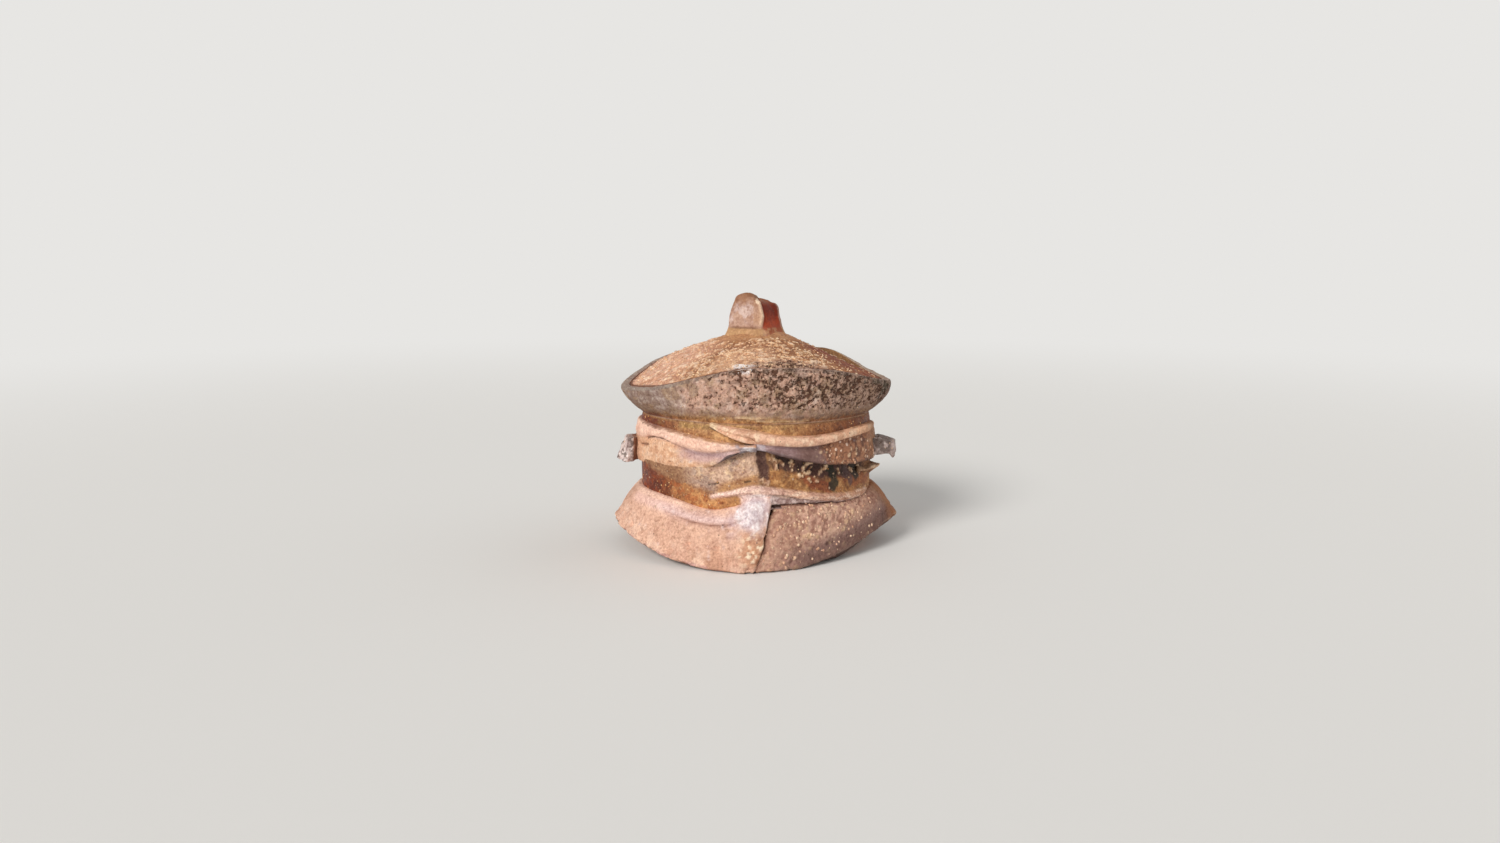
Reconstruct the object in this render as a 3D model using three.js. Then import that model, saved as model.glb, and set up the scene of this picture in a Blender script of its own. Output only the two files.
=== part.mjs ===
// A lidded stoneware water jar, built up by hand and altered: a straight wall on a floor slab, a flared skirt
// of four slabs, two strips that pinch together at the front corner, a collar whose rim dips to a point on the
// left and the right, two lugs, and an inset lid with a cut knob. Millimetres. Z is up from the table, +X is
// the jar's right as it is looked at, and -Y faces the viewer.
import * as THREE from "three";

const degrees = (value) => (value * Math.PI) / 180;

// Clearances
const seamGap = 0.3; // between clay pieces that are luted face to face
const lidClearance = 1.2; // round the edge of the lid, inside the rim
const lidRest = 0.5; // between the lid's underside and the step it sits on
const tenonClearance = 2.5; // round the lid's locating ring, inside the mouth

// The wall: reach to the side (X) and to the front (Y), measured from the jar's axis
const wallSide = 84;
const wallFront = 72;
const wallThickness = 9;
const floorThickness = 9;
const floorTaper = 7; // the floor slab's underside is smaller than its top by this much all round

// Heights, stacked up from the table
const skirtHeight = 43.5;
const waistHeight = 18.5;
const stripHeight = 25;
const neckHeight = 10;
const collarHeight = 38;

// Skirt
const skirtTopReach = 4; // how far the skirt's upper edge stands out from the wall
const sagLeft = 3.2; // its upper edge hangs a little lower at the front left
const sagLeftAngle = degrees(243);
const sagLeftSpread = degrees(19);
const sagRight = 3.6; // and at the front right
const sagRightAngle = degrees(325);
const sagRightSpread = degrees(22);
const skirtShoulderReach = 7;
const skirtShoulderFins = 3; // more at the left and right
const skirtShoulderDrop = 7.5;
const lipReachSide = 21.5; // the lip at the left and right fins, out from the wall
const lipReachFront = 20;
const lipThickness = 4;
const finRiseLeft = 16.5; // how far the lip lifts off the table at the fins
const finRiseRight = 17.5;
const finSharpness = [3, 3, 2.9, 3.2]; // back right, back left, front left, front right
const toeReach = 3;
const toeDrop = 5; // the skirt's underside falls from the lip to its inner toe by this much, at the fins
const toeRise = 0.6; // nothing of the skirt comes lower, so that the jar stands on its floor

// Roll on the wall along the skirt's upper edge. It arches over the front corner and runs out to the right.
const rollReach = 6.5;
const rollReachSpread = degrees(22);
const rollRightReach = 4.3;
const rollRightAngle = degrees(315);
const rollRightSpread = degrees(25);
const rollRise = 7.2; // how far it arches up at the corner
const rollThickness = 6;
const rollAngle = degrees(272);
const rollSpread = degrees(25);

// Strips round the waist
const stripReach = 4.2;
const stripFrontReach = 6;
const stripLipHeight = 9; // height of the rounded upper ridge of a strip
const pinchAngle = degrees(267);
const pinchRiseLeft = 17.3; // how far a strip's lower edge is drawn up towards the pinch
const pinchRiseRight = 14.8;
const pinchSpreadLeft = degrees(20);
const pinchSpreadRight = degrees(31);
const rightStripLift = 3.3; // the right strip sits a little higher on the wall than the left
const rightEndRise = 4.2; // and its upper edge climbs again at the right
const rightEndAngle = degrees(340);
const rightEndSpread = degrees(28);
const leftStripRise = 5.3; // the left strip's upper edge, above the right strip's
const leftStripFall = 8.4; // and how far it falls towards the pinch
const leftFallSpread = degrees(36);
const tongueAngle = degrees(245); // the tip of the right strip's tongue, which lies over the left strip
const tongueEnd = degrees(270);
const tongueRise = 9; // how far the tongue's upper edge climbs above the strip
const tongueSpread = degrees(40);

// Collar and rim
const neckDepth = 1.5; // groove under the collar
const rimReachSide = 15;
const rimReachFront = 6;
const rimDipLeft = 18.5;
const rimDipRight = 15;
const dipTurnLeft = degrees(8); // the left dip is turned a little to the front
const dipSharpness = [4, 4, 1.7, 4]; // back right, back left, front left, front right
const swellLeft = 3.5; // the rim and the lid swell up together at the back left
const swellLeftAngle = degrees(142);
const swellLeftSpread = degrees(20);
const swellRight = 6; // the rim alone swells up at the back right
const swellRightAngle = degrees(44);
const swellRightSpread = degrees(18);
const rimBevel = 2.5;
const lipWidthSide = 8; // flat top of the rim outside the lid, at the tips
const lipWidthFront = 2.5;
const ledgeDepth = 4; // step that the lid sits in

// Lid
const lidThickness = 8;
const padHeight = 17; // centre of the lid above the rim at the front
const padRadius = 22;
const tenonWidth = 6;
const tenonDepth = 8;

// Knob, a tapered square block with rounded corners
const knobBase = 17.5;
const knobWaist = 15.2;
const knobTop = 11;
const knobHeight = 30;
const knobFlareHeight = 13;
const knobShoulderDrop = 9; // from the knob's top down to where it starts to round over
const knobTopTilt = 3.5; // the top is higher on the left
const knobTurn = degrees(60);
const knobSquareness = 5;
const knobSteps = 32;

// Lugs. Each is a block with four upright corners, listed anticlockwise from above: the corner's angle, how far
// it stands out from the strip's face, its bottom and top levels, and how far its top leans in to the jar.
const leftLug = [
  [degrees(177), 0, 62, 80, 0],
  [degrees(186), 14.5, 63.5, 80, 4.5],
  [degrees(193.5), 7.5, 61, 79, 3.5],
  [degrees(188), 0, 61.5, 80, 0],
];
const rightLug = [
  [degrees(344), 0, 66, 80, 0],
  [degrees(351), 13.5, 67, 76, 0.5],
  [degrees(359), 15, 67, 75.5, 0.5],
  [degrees(364), 0, 66, 80, 0],
];

// Plans, as half sizes of a rounded outline. A power of 2 is an ellipse and 1 a lozenge with straight sides.
const bodyPower = 1.9;
const rimPower = 1.8;
const skirtPowers = [1.6, 1.6, 1.78, 1.42]; // back right, back left, front left, front right
const stepAngle = degrees(5);

// Levels
const skirtTopZ = skirtHeight;
const stripBottomZ = skirtTopZ + waistHeight;
const stripTopZ = stripBottomZ + stripHeight;
const collarBottomZ = stripTopZ + neckHeight;
const rimZ = collarBottomZ + collarHeight;
const padZ = rimZ + padHeight;

const cavitySide = wallSide - wallThickness;
const cavityFront = wallFront - wallThickness;

const fullTurn = 2 * Math.PI;
const bump = (angle, centre, spread) => {
  const away = Math.atan2(Math.sin(angle - centre), Math.cos(angle - centre));
  return Math.exp(-((away / spread) ** 2));
};

const quadrantOf = (angle) => Math.floor((((angle % fullTurn) + fullTurn) % fullTurn) / (fullTurn / 4)) % 4;

// Distance from the axis to a rounded outline, in the direction of an angle.
function outline(side, front, power) {
  return (angle) => {
    const c = Math.abs(Math.cos(angle));
    const s = Math.abs(Math.sin(angle));
    const p = Array.isArray(power) ? power[quadrantOf(angle)] : power;
    return ((c / side) ** p + (s / front) ** p) ** (-1 / p);
  };
}

const wallOutside = outline(wallSide, wallFront, bodyPower);
const cavity = outline(cavitySide, cavityFront, bodyPower);
const lip = outline(wallSide + lipReachSide, wallFront + lipReachFront, skirtPowers);
const rim = outline(wallSide + rimReachSide, wallFront + rimReachFront, rimPower);
const lidSeat = outline(
  wallSide + rimReachSide - lipWidthSide,
  wallFront + rimReachFront - lipWidthFront,
  rimPower,
);
const stripFace = outline(wallSide + stripReach, wallFront + stripFrontReach, bodyPower);
const offset = (plan, by) => (angle) => plan(angle) + by;
const between = (planA, planB, share) => (angle) => planA(angle) * (1 - share) + planB(angle) * share;
const level = (z) => () => z;

const toTips = (angle, sharpness) => Math.abs(Math.cos(angle)) ** sharpness;
const sideOf = (angle, left, right) => (Math.cos(angle) < 0 ? left : right);
const rimHeight = (angle) => {
  const turned = angle - dipTurnLeft * Math.max(0, -Math.cos(angle));
  const dip = sideOf(angle, rimDipLeft, rimDipRight);
  const swell = swellLeft * bump(angle, swellLeftAngle, swellLeftSpread);
  return rimZ - dip * toTips(turned, dipSharpness[quadrantOf(turned)]) + swell;
};
const rimTop = (angle) => rimHeight(angle) + swellRight * bump(angle, swellRightAngle, swellRightSpread);
const ledgeHeight = (angle) => rimHeight(angle) - ledgeDepth;
const lipHeight = (angle) =>
  sideOf(angle, finRiseLeft, finRiseRight) * toTips(angle, finSharpness[quadrantOf(angle)]);
const skirtTop = (angle) =>
  skirtTopZ -
  sagLeft * bump(angle, sagLeftAngle, sagLeftSpread) -
  sagRight * bump(angle, sagRightAngle, sagRightSpread);

function solidFrom(positions, triangles) {
  const geometry = new THREE.BufferGeometry();
  geometry.setAttribute("position", new THREE.Float32BufferAttribute(positions, 3));
  geometry.setIndex(triangles);
  geometry.computeVertexNormals();
  return geometry;
}

function pushRing(positions, stations, angle) {
  for (const [radius, height] of stations) {
    const r = radius(angle);
    positions.push(r * Math.cos(angle), r * Math.sin(angle), height(angle));
  }
}

// A ring or a length of one. Its stations are the corners of its cross-section, listed inside bottom, outside
// bottom, then up the outside and back over the top to the inside.
function ringSolid(stations, angles, closed) {
  const positions = [];
  const triangles = [];
  const n = stations.length;
  const count = angles.length;
  for (const angle of angles) pushRing(positions, stations, angle);
  const spans = closed ? count : count - 1;
  for (let i = 0; i < spans; i++) {
    const here = i * n;
    const next = ((i + 1) % count) * n;
    for (let j = 0; j < n; j++) {
      const k = (j + 1) % n;
      triangles.push(here + j, next + j, next + k, here + j, next + k, here + k);
    }
  }
  if (!closed) {
    for (const [at, angle, reversed] of [
      [0, angles[0], false],
      [(count - 1) * n, angles[count - 1], true],
    ]) {
      const contour = stations.map(([radius, height]) => new THREE.Vector2(radius(angle), height(angle)));
      for (const [a, b, c] of THREE.ShapeUtils.triangulateShape(contour, [])) {
        triangles.push(at + a, at + (reversed ? c : b), at + (reversed ? b : c));
      }
    }
  }
  return solidFrom(positions, triangles);
}

// A disc-like solid whose profile starts on the axis below and ends on the axis above.
function domeSolid(bottomZ, stations, topZ, angles) {
  const positions = [];
  const triangles = [];
  const n = stations.length;
  const count = angles.length;
  for (const angle of angles) pushRing(positions, stations, angle);
  const bottom = count * n;
  const top = bottom + 1;
  positions.push(0, 0, bottomZ, 0, 0, topZ);
  for (let i = 0; i < count; i++) {
    const here = i * n;
    const next = ((i + 1) % count) * n;
    triangles.push(bottom, next, here, top, here + n - 1, next + n - 1);
    for (let j = 0; j < n - 1; j++) {
      triangles.push(here + j, next + j, next + j + 1, here + j, next + j + 1, here + j + 1);
    }
  }
  return solidFrom(positions, triangles);
}

// Angles from one end to the other on the shared grid, so that neighbouring pieces keep their gap all the way.
function anglesBetween(from, to) {
  const list = [from];
  const first = Math.ceil(from / stepAngle + 0.2);
  for (let i = first; i * stepAngle < to - 0.2 * stepAngle; i++) list.push(i * stepAngle);
  list.push(to);
  return list;
}

const around = Array.from({ length: Math.round(fullTurn / stepAngle) }, (_, i) => i * stepAngle);
const seamTurn = seamGap / wallFront / 2; // half a seam's width, as an angle

// Pieces of the jar

function floorSlab() {
  return domeSolid(
    0,
    [
      [offset(wallOutside, -floorTaper), level(0)],
      [offset(wallOutside, -0.6 * floorTaper), level(0.2 * floorThickness)],
      [wallOutside, level(floorThickness)],
    ],
    floorThickness,
    around,
  );
}

const rollZ = (angle) => skirtTop(angle) + rollThickness / 2 + rollRise * bump(angle, rollAngle, rollSpread);

function jarWall() {
  const foot = floorThickness + seamGap;
  const rollOut = (share) => (angle) => {
    const corner = rollReach * bump(angle, rollAngle, rollReachSpread);
    return wallOutside(angle) + share * (corner + rollRightReach * bump(angle, rollRightAngle, rollRightSpread));
  };
  return ringSolid(
    [
      [cavity, level(foot)],
      [wallOutside, level(foot)],
      [wallOutside, (angle) => skirtTop(angle) + seamGap],
      [rollOut(0.7), (angle) => skirtTop(angle) + 1.4 * seamGap],
      [rollOut(1), rollZ],
      [rollOut(0.15), (angle) => rollZ(angle) + 0.57 * rollThickness],
      [wallOutside, (angle) => rightStripLower(angle) - 1],
      [wallOutside, level(stripTopZ + neckHeight * 0.4)],
      [offset(wallOutside, -neckDepth), level(collarBottomZ - 1)],
      [offset(wallOutside, -neckDepth), level(collarBottomZ)],
      [cavity, level(collarBottomZ)],
    ],
    around,
    true,
  );
}

function skirtSlab(from, to) {
  const inside = offset(wallOutside, seamGap);
  const shoulder = (angle) => wallOutside(angle) + skirtShoulderReach + skirtShoulderFins * toTips(angle, 4);
  const shoulderZ = (angle) => skirtTop(angle) - skirtShoulderDrop;
  const toe = (angle) => Math.max(lipHeight(angle) - toeDrop, toeRise);
  return ringSolid(
    [
      [inside, toe],
      [offset(wallOutside, toeReach), toe],
      [offset(lip, -lipThickness / 2), (angle) => Math.max(lipHeight(angle), toeRise)],
      [lip, (angle) => lipHeight(angle) + lipThickness / 2],
      [between(shoulder, lip, 0.55), (angle) => shoulderZ(angle) * 0.47 + lipHeight(angle) * 0.55],
      [shoulder, shoulderZ],
      [offset(wallOutside, skirtTopReach), (angle) => skirtTop(angle) - 1.5],
      [offset(wallOutside, skirtTopReach - 1.5), skirtTop],
      [inside, skirtTop],
    ],
    anglesBetween(from + seamTurn, to - seamTurn),
    false,
  );
}

const leftStripLower = (angle) => stripBottomZ + pinchRiseLeft * bump(angle, pinchAngle, pinchSpreadLeft);
const rightStripLower = (angle) =>
  stripBottomZ + rightStripLift + pinchRiseRight * bump(angle, pinchAngle, pinchSpreadRight);
const leftStripUpper = (angle) =>
  stripTopZ + leftStripRise - leftStripFall * bump(angle, pinchAngle, leftFallSpread);
const rightStripUpper = (angle) =>
  stripTopZ +
  tongueRise * bump(angle, tongueAngle, tongueSpread) +
  rightEndRise * bump(angle, rightEndAngle, rightEndSpread);

// A strip's cross-section: a full ridge along its top, a face that falls back, and a lower edge.
function stripSection(lower, upper, fullness) {
  const inside = offset(wallOutside, seamGap);
  const out = (share) => (angle) =>
    wallOutside(angle) + seamGap + (stripFace(angle) - wallOutside(angle)) * share * fullness(angle);
  const ridge = (share) => (angle) => {
    const room = upper(angle) - lower(angle);
    return upper(angle) - Math.min(stripLipHeight * share, room * share * 0.6);
  };
  return [
    [inside, lower],
    [out(0.85), lower],
    [out(0.95), (angle) => lower(angle) + 0.12 * (upper(angle) - lower(angle))],
    [out(0.72), ridge(1)],
    [out(1), ridge(0.5)],
    [out(0.75), ridge(0.12)],
    [inside, upper],
  ];
}

function leftStrip() {
  return ringSolid(
    stripSection(leftStripLower, leftStripUpper, level(1)),
    anglesBetween(degrees(90) + seamTurn, tongueEnd - 3 * seamTurn),
    false,
  );
}

function rightStrip() {
  const alongTongue = (angle) => Math.min(1, (angle - tongueAngle) / (tongueEnd - tongueAngle));
  const lower = (angle) => {
    if (angle > tongueEnd) return rightStripLower(angle);
    const depth = rightStripUpper(angle) - leftStripUpper(angle) - seamGap;
    return rightStripUpper(angle) - depth * (0.2 + 0.8 * alongTongue(angle));
  };
  const fullness = (angle) => 0.4 + 0.6 * Math.min(1, 2 * alongTongue(angle));
  return ringSolid(
    stripSection(lower, rightStripUpper, fullness),
    [
      ...anglesBetween(tongueAngle, tongueEnd - seamTurn),
      ...anglesBetween(tongueEnd + seamTurn, degrees(450) - seamTurn),
    ],
    false,
  );
}

function collar() {
  const root = offset(wallOutside, -neckDepth);
  const flare = (share) => (angle) =>
    collarBottomZ + seamGap + (rimTop(angle) - rimBevel - collarBottomZ - seamGap) * share;
  const seat = offset(lidSeat, lidClearance);
  return ringSolid(
    [
      [cavity, level(collarBottomZ + seamGap)],
      [root, level(collarBottomZ + seamGap)],
      [between(root, rim, 0.42), flare(0.3)],
      [between(root, rim, 0.78), flare(0.65)],
      [rim, flare(1)],
      [offset(rim, -rimBevel / 2), rimTop],
      [seat, rimTop],
      [seat, ledgeHeight],
      [cavity, ledgeHeight],
    ],
    around,
    true,
  );
}

// The side against the jar follows the strip's face, between the last corner and the first.
function lug(corners) {
  const positions = [];
  const plan = [];
  const [firstAngle, , firstBottom, firstTop] = corners[0];
  const lastAngle = corners[corners.length - 1][0];
  const root = anglesBetween(Math.min(firstAngle, lastAngle), Math.max(firstAngle, lastAngle)).slice(1, -1);
  if (lastAngle > firstAngle) root.reverse();
  const along = root.map((angle) => [angle, 0, firstBottom, firstTop, 0]);
  for (const [angle, reach, bottom, top, lean] of [...corners, ...along]) {
    const distance = stripFace(angle) + 2 * seamGap + reach;
    plan.push(new THREE.Vector2(distance * Math.cos(angle), distance * Math.sin(angle)));
    for (const [z, inwards] of [
      [bottom, 0],
      [top, lean],
    ]) {
      const d = distance - inwards;
      positions.push(d * Math.cos(angle), d * Math.sin(angle), z);
    }
  }
  const count = plan.length;
  const triangles = [];
  for (const [a, b, c] of THREE.ShapeUtils.triangulateShape(plan, [])) {
    triangles.push(2 * a, 2 * c, 2 * b, 2 * a + 1, 2 * b + 1, 2 * c + 1);
  }
  for (let j = 0; j < count; j++) {
    const here = 2 * j;
    const next = 2 * ((j + 1) % count);
    triangles.push(here, next, next + 1, here, next + 1, here + 1);
  }
  return solidFrom(positions, triangles);
}

// Pieces of the lid

const lidUnder = (angle) => ledgeHeight(angle) + lidRest;
const tenonInside = offset(cavity, -tenonClearance - tenonWidth);
const circle = (radius) => () => radius;

function lidPlate() {
  const slope = (share) => {
    const plan = between(circle(padRadius), lidSeat, share);
    return [plan, (angle) => padZ + (rimHeight(angle) - padZ) * share];
  };
  return domeSolid(
    padZ - lidThickness,
    [
      [circle(padRadius), level(padZ - lidThickness)],
      [offset(tenonInside, -3), (angle) => lidUnder(angle) + 2],
      [offset(tenonInside, -0.5), lidUnder],
      [offset(lidSeat, -1), lidUnder],
      [lidSeat, (angle) => lidUnder(angle) + 1],
      [lidSeat, (angle) => rimHeight(angle) - 0.8],
      slope(0.985),
      slope(0.5),
      [circle(padRadius), level(padZ)],
    ],
    padZ,
    around,
  );
}

function lidTenon() {
  const outside = offset(cavity, -tenonClearance);
  return ringSolid(
    [
      [offset(tenonInside, 1), (angle) => ledgeHeight(angle) - tenonDepth],
      [offset(outside, -1), (angle) => ledgeHeight(angle) - tenonDepth],
      [outside, (angle) => ledgeHeight(angle) - tenonDepth + 1],
      [outside, (angle) => lidUnder(angle) - seamGap],
      [tenonInside, (angle) => lidUnder(angle) - seamGap],
    ],
    around,
    true,
  );
}

function knob() {
  const block = (half) => {
    const square = outline(half, half, knobSquareness);
    return (angle) => square(angle - knobTurn);
  };
  const seat = padZ + seamGap;
  const tilt = (radius, z) => (angle) => z - (knobTopTilt * radius * Math.cos(angle)) / (2 * knobTop);
  const top = seat + knobHeight - knobTopTilt / 2;
  const steps = Array.from({ length: knobSteps }, (_, i) => (i * fullTurn) / knobSteps);
  return domeSolid(
    seat,
    [
      [block(knobBase), level(seat)],
      [block((knobBase + knobWaist) / 2), level(seat + knobFlareHeight * 0.35)],
      [block(knobWaist), level(seat + knobFlareHeight)],
      [block(knobWaist * 0.7 + knobTop * 0.3), level(top - knobShoulderDrop)],
      [block(knobTop), tilt(knobTop, top - 3)],
      [block(knobTop * 0.72), tilt(knobTop * 0.72, top - 0.6)],
    ],
    top,
    steps,
  );
}

// Colours follow the fired clay: bare pinkish buff, olive and brown where ash has melted, grey at the rim.
const clay = (colour, roughness) => new THREE.MeshStandardMaterial({ color: colour, roughness, metalness: 0 });
const buffClay = clay(0xc79474, 0.8);
const ashBrown = clay(0x8a5f3c, 0.45);
const greyAsh = clay(0x8f7d70, 0.85);
const paleLug = clay(0xb0a39a, 0.8);
const fleckedClay = clay(0xb98a63, 0.75);
const redFlash = clay(0x9c6a52, 0.7);

const part = new THREE.Group();
function addPiece(name, geometry, material) {
  const mesh = new THREE.Mesh(geometry, material);
  mesh.name = name;
  part.add(mesh);
}

const frontSeam = degrees(274.5);

addPiece("floor_slab", floorSlab(), buffClay);
addPiece("jar_wall", jarWall(), ashBrown);
addPiece("skirt_front_left", skirtSlab(degrees(180), frontSeam), buffClay);
addPiece("skirt_front_right", skirtSlab(frontSeam, degrees(360)), buffClay);
addPiece("skirt_back_right", skirtSlab(degrees(0), degrees(90)), buffClay);
addPiece("skirt_back_left", skirtSlab(degrees(90), degrees(180)), buffClay);
addPiece("waist_strip_left", leftStrip(), buffClay);
addPiece("waist_strip_right", rightStrip(), buffClay);
addPiece("lug_left", lug(leftLug), paleLug);
addPiece("lug_right", lug(rightLug), paleLug);
addPiece("collar", collar(), greyAsh);
addPiece("lid_plate", lidPlate(), fleckedClay);
addPiece("lid_tenon", lidTenon(), buffClay);
addPiece("lid_knob", knob(), redFlash);

export default part;
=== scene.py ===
"""A lidded stoneware water jar, wood fired, with natural ash on it.

Every piece of clay is a fine mesh built from the jar's own plans and levels, in millimetres, then roughened,
creased and cracked by rule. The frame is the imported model's: Z up, +X to the jar's right, -Y to the viewer.
"""

import functools
import itertools
import math

import bpy
import numpy as np
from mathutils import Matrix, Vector


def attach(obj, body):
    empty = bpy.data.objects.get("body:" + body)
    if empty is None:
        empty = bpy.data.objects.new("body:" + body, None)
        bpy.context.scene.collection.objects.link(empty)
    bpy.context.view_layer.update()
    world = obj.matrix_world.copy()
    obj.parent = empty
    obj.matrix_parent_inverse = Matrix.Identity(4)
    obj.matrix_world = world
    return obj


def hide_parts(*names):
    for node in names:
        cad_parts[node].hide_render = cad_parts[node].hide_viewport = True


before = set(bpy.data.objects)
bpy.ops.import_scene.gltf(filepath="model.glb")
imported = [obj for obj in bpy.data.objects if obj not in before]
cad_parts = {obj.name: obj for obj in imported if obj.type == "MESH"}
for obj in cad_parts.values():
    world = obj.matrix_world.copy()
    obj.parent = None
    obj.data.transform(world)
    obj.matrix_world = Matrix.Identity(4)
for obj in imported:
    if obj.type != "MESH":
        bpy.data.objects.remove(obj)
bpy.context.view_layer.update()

MM = 0.001
TURN = 2 * math.pi

# Sizes in millimetres, the same as the solids have

WALL_SIDE, WALL_FRONT = 84, 72
WALL_THICK, FLOOR_THICK, FLOOR_TAPER = 9, 9, 7
SKIRT_TOP, STRIP_BOTTOM, STRIP_TOP, COLLAR_BOTTOM, RIM = 43.5, 62, 87, 97, 135
PAD, PAD_RADIUS = 152, 22
KNOB_HEIGHT, KNOB_WIDTH, KNOB_TILT, KNOB_POWER, KNOB_TURN = 30, 22, 3.5, 5, math.radians(60)
SEAM = 0.3
LID_CLEARANCE, LID_REST, TENON_CLEARANCE = 1.2, 0.5, 2.5
LEDGE_DEPTH, LID_THICK, TENON_WIDTH, TENON_DEPTH = 4, 8, 6, 8
DIP_LEFT, DIP_RIGHT, RIM_TURN = 18.5, 15, math.radians(8)
RIM_SWELL, SWELL_AT, SWELL_SPREAD = 3.5, 142, 20
BODY_POWER, RIM_POWER = 1.9, 1.8
SKIRT_POWERS = (1.6, 1.6, 1.78, 1.42)
FRONT_SEAM = math.radians(274.5)
TONGUE_TIP, TONGUE_END = math.radians(245), math.radians(270)

rad = math.radians
MEAN_RADIUS = 80  # the jar's, which gives the number of columns round it
MM_PER_DEGREE = 1.38  # along its surface


# Plans and levels. Angles are in radians from +X towards +Y, so the front is at 270 degrees


def quadrant(angle):
    """0 at back right, 1 at back left, 2 at front left and 3 at front right."""
    return (np.mod(angle, TURN) // (TURN / 4)).astype(int) % 4


def outline(side, front, power):
    """Reach from the axis to a rounded outline. A power of 2 is an ellipse, 1 a lozenge."""
    powers = np.broadcast_to(power, 4)

    def reach(angle):
        p = powers[quadrant(angle)]
        return ((np.abs(np.cos(angle)) / side) ** p + (np.abs(np.sin(angle)) / front) ** p) ** (-1 / p)

    return reach


def hill(away, width):
    """1 where `away` is 0, falling to about a third at its width and soon to nothing."""
    return np.exp(-((away / width) ** 2))


def turn_from(degrees, other):
    """The shortest turn from one direction to another, in degrees."""
    return np.degrees(np.angle(np.exp(1j * (rad(1) * degrees - rad(other)))))


def bump(angle, centre_degrees, spread_degrees):
    return hill(turn_from(np.degrees(angle), centre_degrees), spread_degrees)


def eased(reach, spread=rad(2.2)):
    """The same outline with the bend at its corners eased, as wet clay leaves it."""
    return lambda angle: 0.25 * reach(angle - spread) + 0.5 * reach(angle) + 0.25 * reach(angle + spread)


wall_outside = eased(outline(WALL_SIDE, WALL_FRONT, BODY_POWER))
cavity = eased(outline(WALL_SIDE - WALL_THICK, WALL_FRONT - WALL_THICK, BODY_POWER))
lip = outline(WALL_SIDE + 21.5, WALL_FRONT + 20, SKIRT_POWERS)
rim = eased(outline(WALL_SIDE + 15, WALL_FRONT + 6, RIM_POWER))
lid_seat = eased(outline(WALL_SIDE + 7, WALL_FRONT + 3.5, RIM_POWER))
strip_face = eased(outline(WALL_SIDE + 4.2, WALL_FRONT + 6, BODY_POWER))


def to_tips(angle, sharpness):
    """1 at the left and right tips, 0 at front and back."""
    return np.abs(np.cos(angle)) ** sharpness


def rim_height(angle):
    turned = angle - RIM_TURN * np.maximum(0, -np.cos(angle))
    dip = np.where(np.cos(angle) < 0, DIP_LEFT, DIP_RIGHT)
    sharpness = np.array((4, 4, 1.7, 4))[quadrant(turned)]
    return RIM - dip * to_tips(turned, sharpness) + RIM_SWELL * bump(angle, SWELL_AT, SWELL_SPREAD)


def rim_top(angle):
    return rim_height(angle) + 6 * bump(angle, 44, 18)


def lip_height(angle):
    rise = np.where(np.cos(angle) < 0, 16.5, 17.5)
    return rise * to_tips(angle, np.array((3, 3, 2.9, 3.2))[quadrant(angle)])


def skirt_top(angle):
    return SKIRT_TOP - 3.2 * bump(angle, 243, 19) - 3.6 * bump(angle, 325, 22)


def left_strip_lower(angle):
    return STRIP_BOTTOM + 17.3 * bump(angle, 267, 20)


def right_strip_lower(angle):
    return STRIP_BOTTOM + 3.3 + 14.8 * bump(angle, 267, 31)


def left_strip_upper(angle):
    return STRIP_TOP + 5.3 - 8.4 * bump(angle, 267, 36)


def right_strip_upper(angle):
    return STRIP_TOP + 9 * bump(angle, 245, 40) + 4.2 * bump(angle, 340, 28)


# Random lumps, the same in every run

SCATTER_PRIMES = (73856093, 19349663, 83492791)


def scatter(cells, seed):
    """A steady random number between -1 and 1 for every whole-number cell."""
    x, y, z = (cells[..., axis] * prime for axis, prime in enumerate(SCATTER_PRIMES))
    h = x ^ y ^ z ^ (seed * 2654435)
    h = (h ^ (h >> 13)) * 1274126177
    h = (h ^ (h >> 16)) & 0xFFFFFF
    return h / 0x7FFFFF - 1.0


def lumps(points, size, seed):
    """Smooth lumps about `size` millimetres across, between -1 and 1."""
    grid = points / size + 7.31 * seed
    cell = np.floor(grid).astype(np.int64)
    part = grid - cell
    ease = part**3 * (part * (part * 6 - 15) + 10)
    total = np.zeros(points.shape[:-1])
    for corner in itertools.product((0, 1), repeat=3):
        weight = np.ones(points.shape[:-1])
        for axis in range(3):
            weight = weight * (ease[..., axis] if corner[axis] else 1 - ease[..., axis])
        total += weight * scatter(cell + np.array(corner), seed)
    return total


def rough(points, size, seed, octaves=3, fall=0.55):
    """Lumps on lumps, each half the size of the last."""
    total = np.zeros(points.shape[:-1])
    strength = 1.0
    for octave in range(octaves):
        total += strength * lumps(points, size / 2**octave, seed + octave)
        strength *= fall
    return total


def pits(points, size, seed):
    """Round spots scattered in space: 1 at a spot's middle, 0 at its edge and beyond."""
    grid = points / size
    cell = np.floor(grid).astype(np.int64)
    best = np.zeros(points.shape[:-1])
    for step in itertools.product((-1, 0, 1), repeat=3):
        near = cell + np.array(step)
        place = near + 0.5 + 0.45 * np.stack([scatter(near, seed + k) for k in range(3)], -1)
        radius = 0.36 + 0.2 * scatter(near, seed + 3)
        away = np.linalg.norm(grid - place, axis=-1) / radius
        best = np.maximum(best, np.clip(1 - away**2, 0, 1))
    return best


def smooth(low, high, value):
    """An eased step: 0 up to `low` and 1 from `high` on, or the other way round where `low` is the larger."""
    t = np.clip((value - low) / (high - low), 0, 1)
    return t * t * (3 - 2 * t)


def span(value, start, full, fading, end):
    """Rises from 0 at `start` to 1 at `full`, and falls from 1 at `fading` to 0 at `end`."""
    return smooth(start, full, value) * smooth(end, fading, value)


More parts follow.
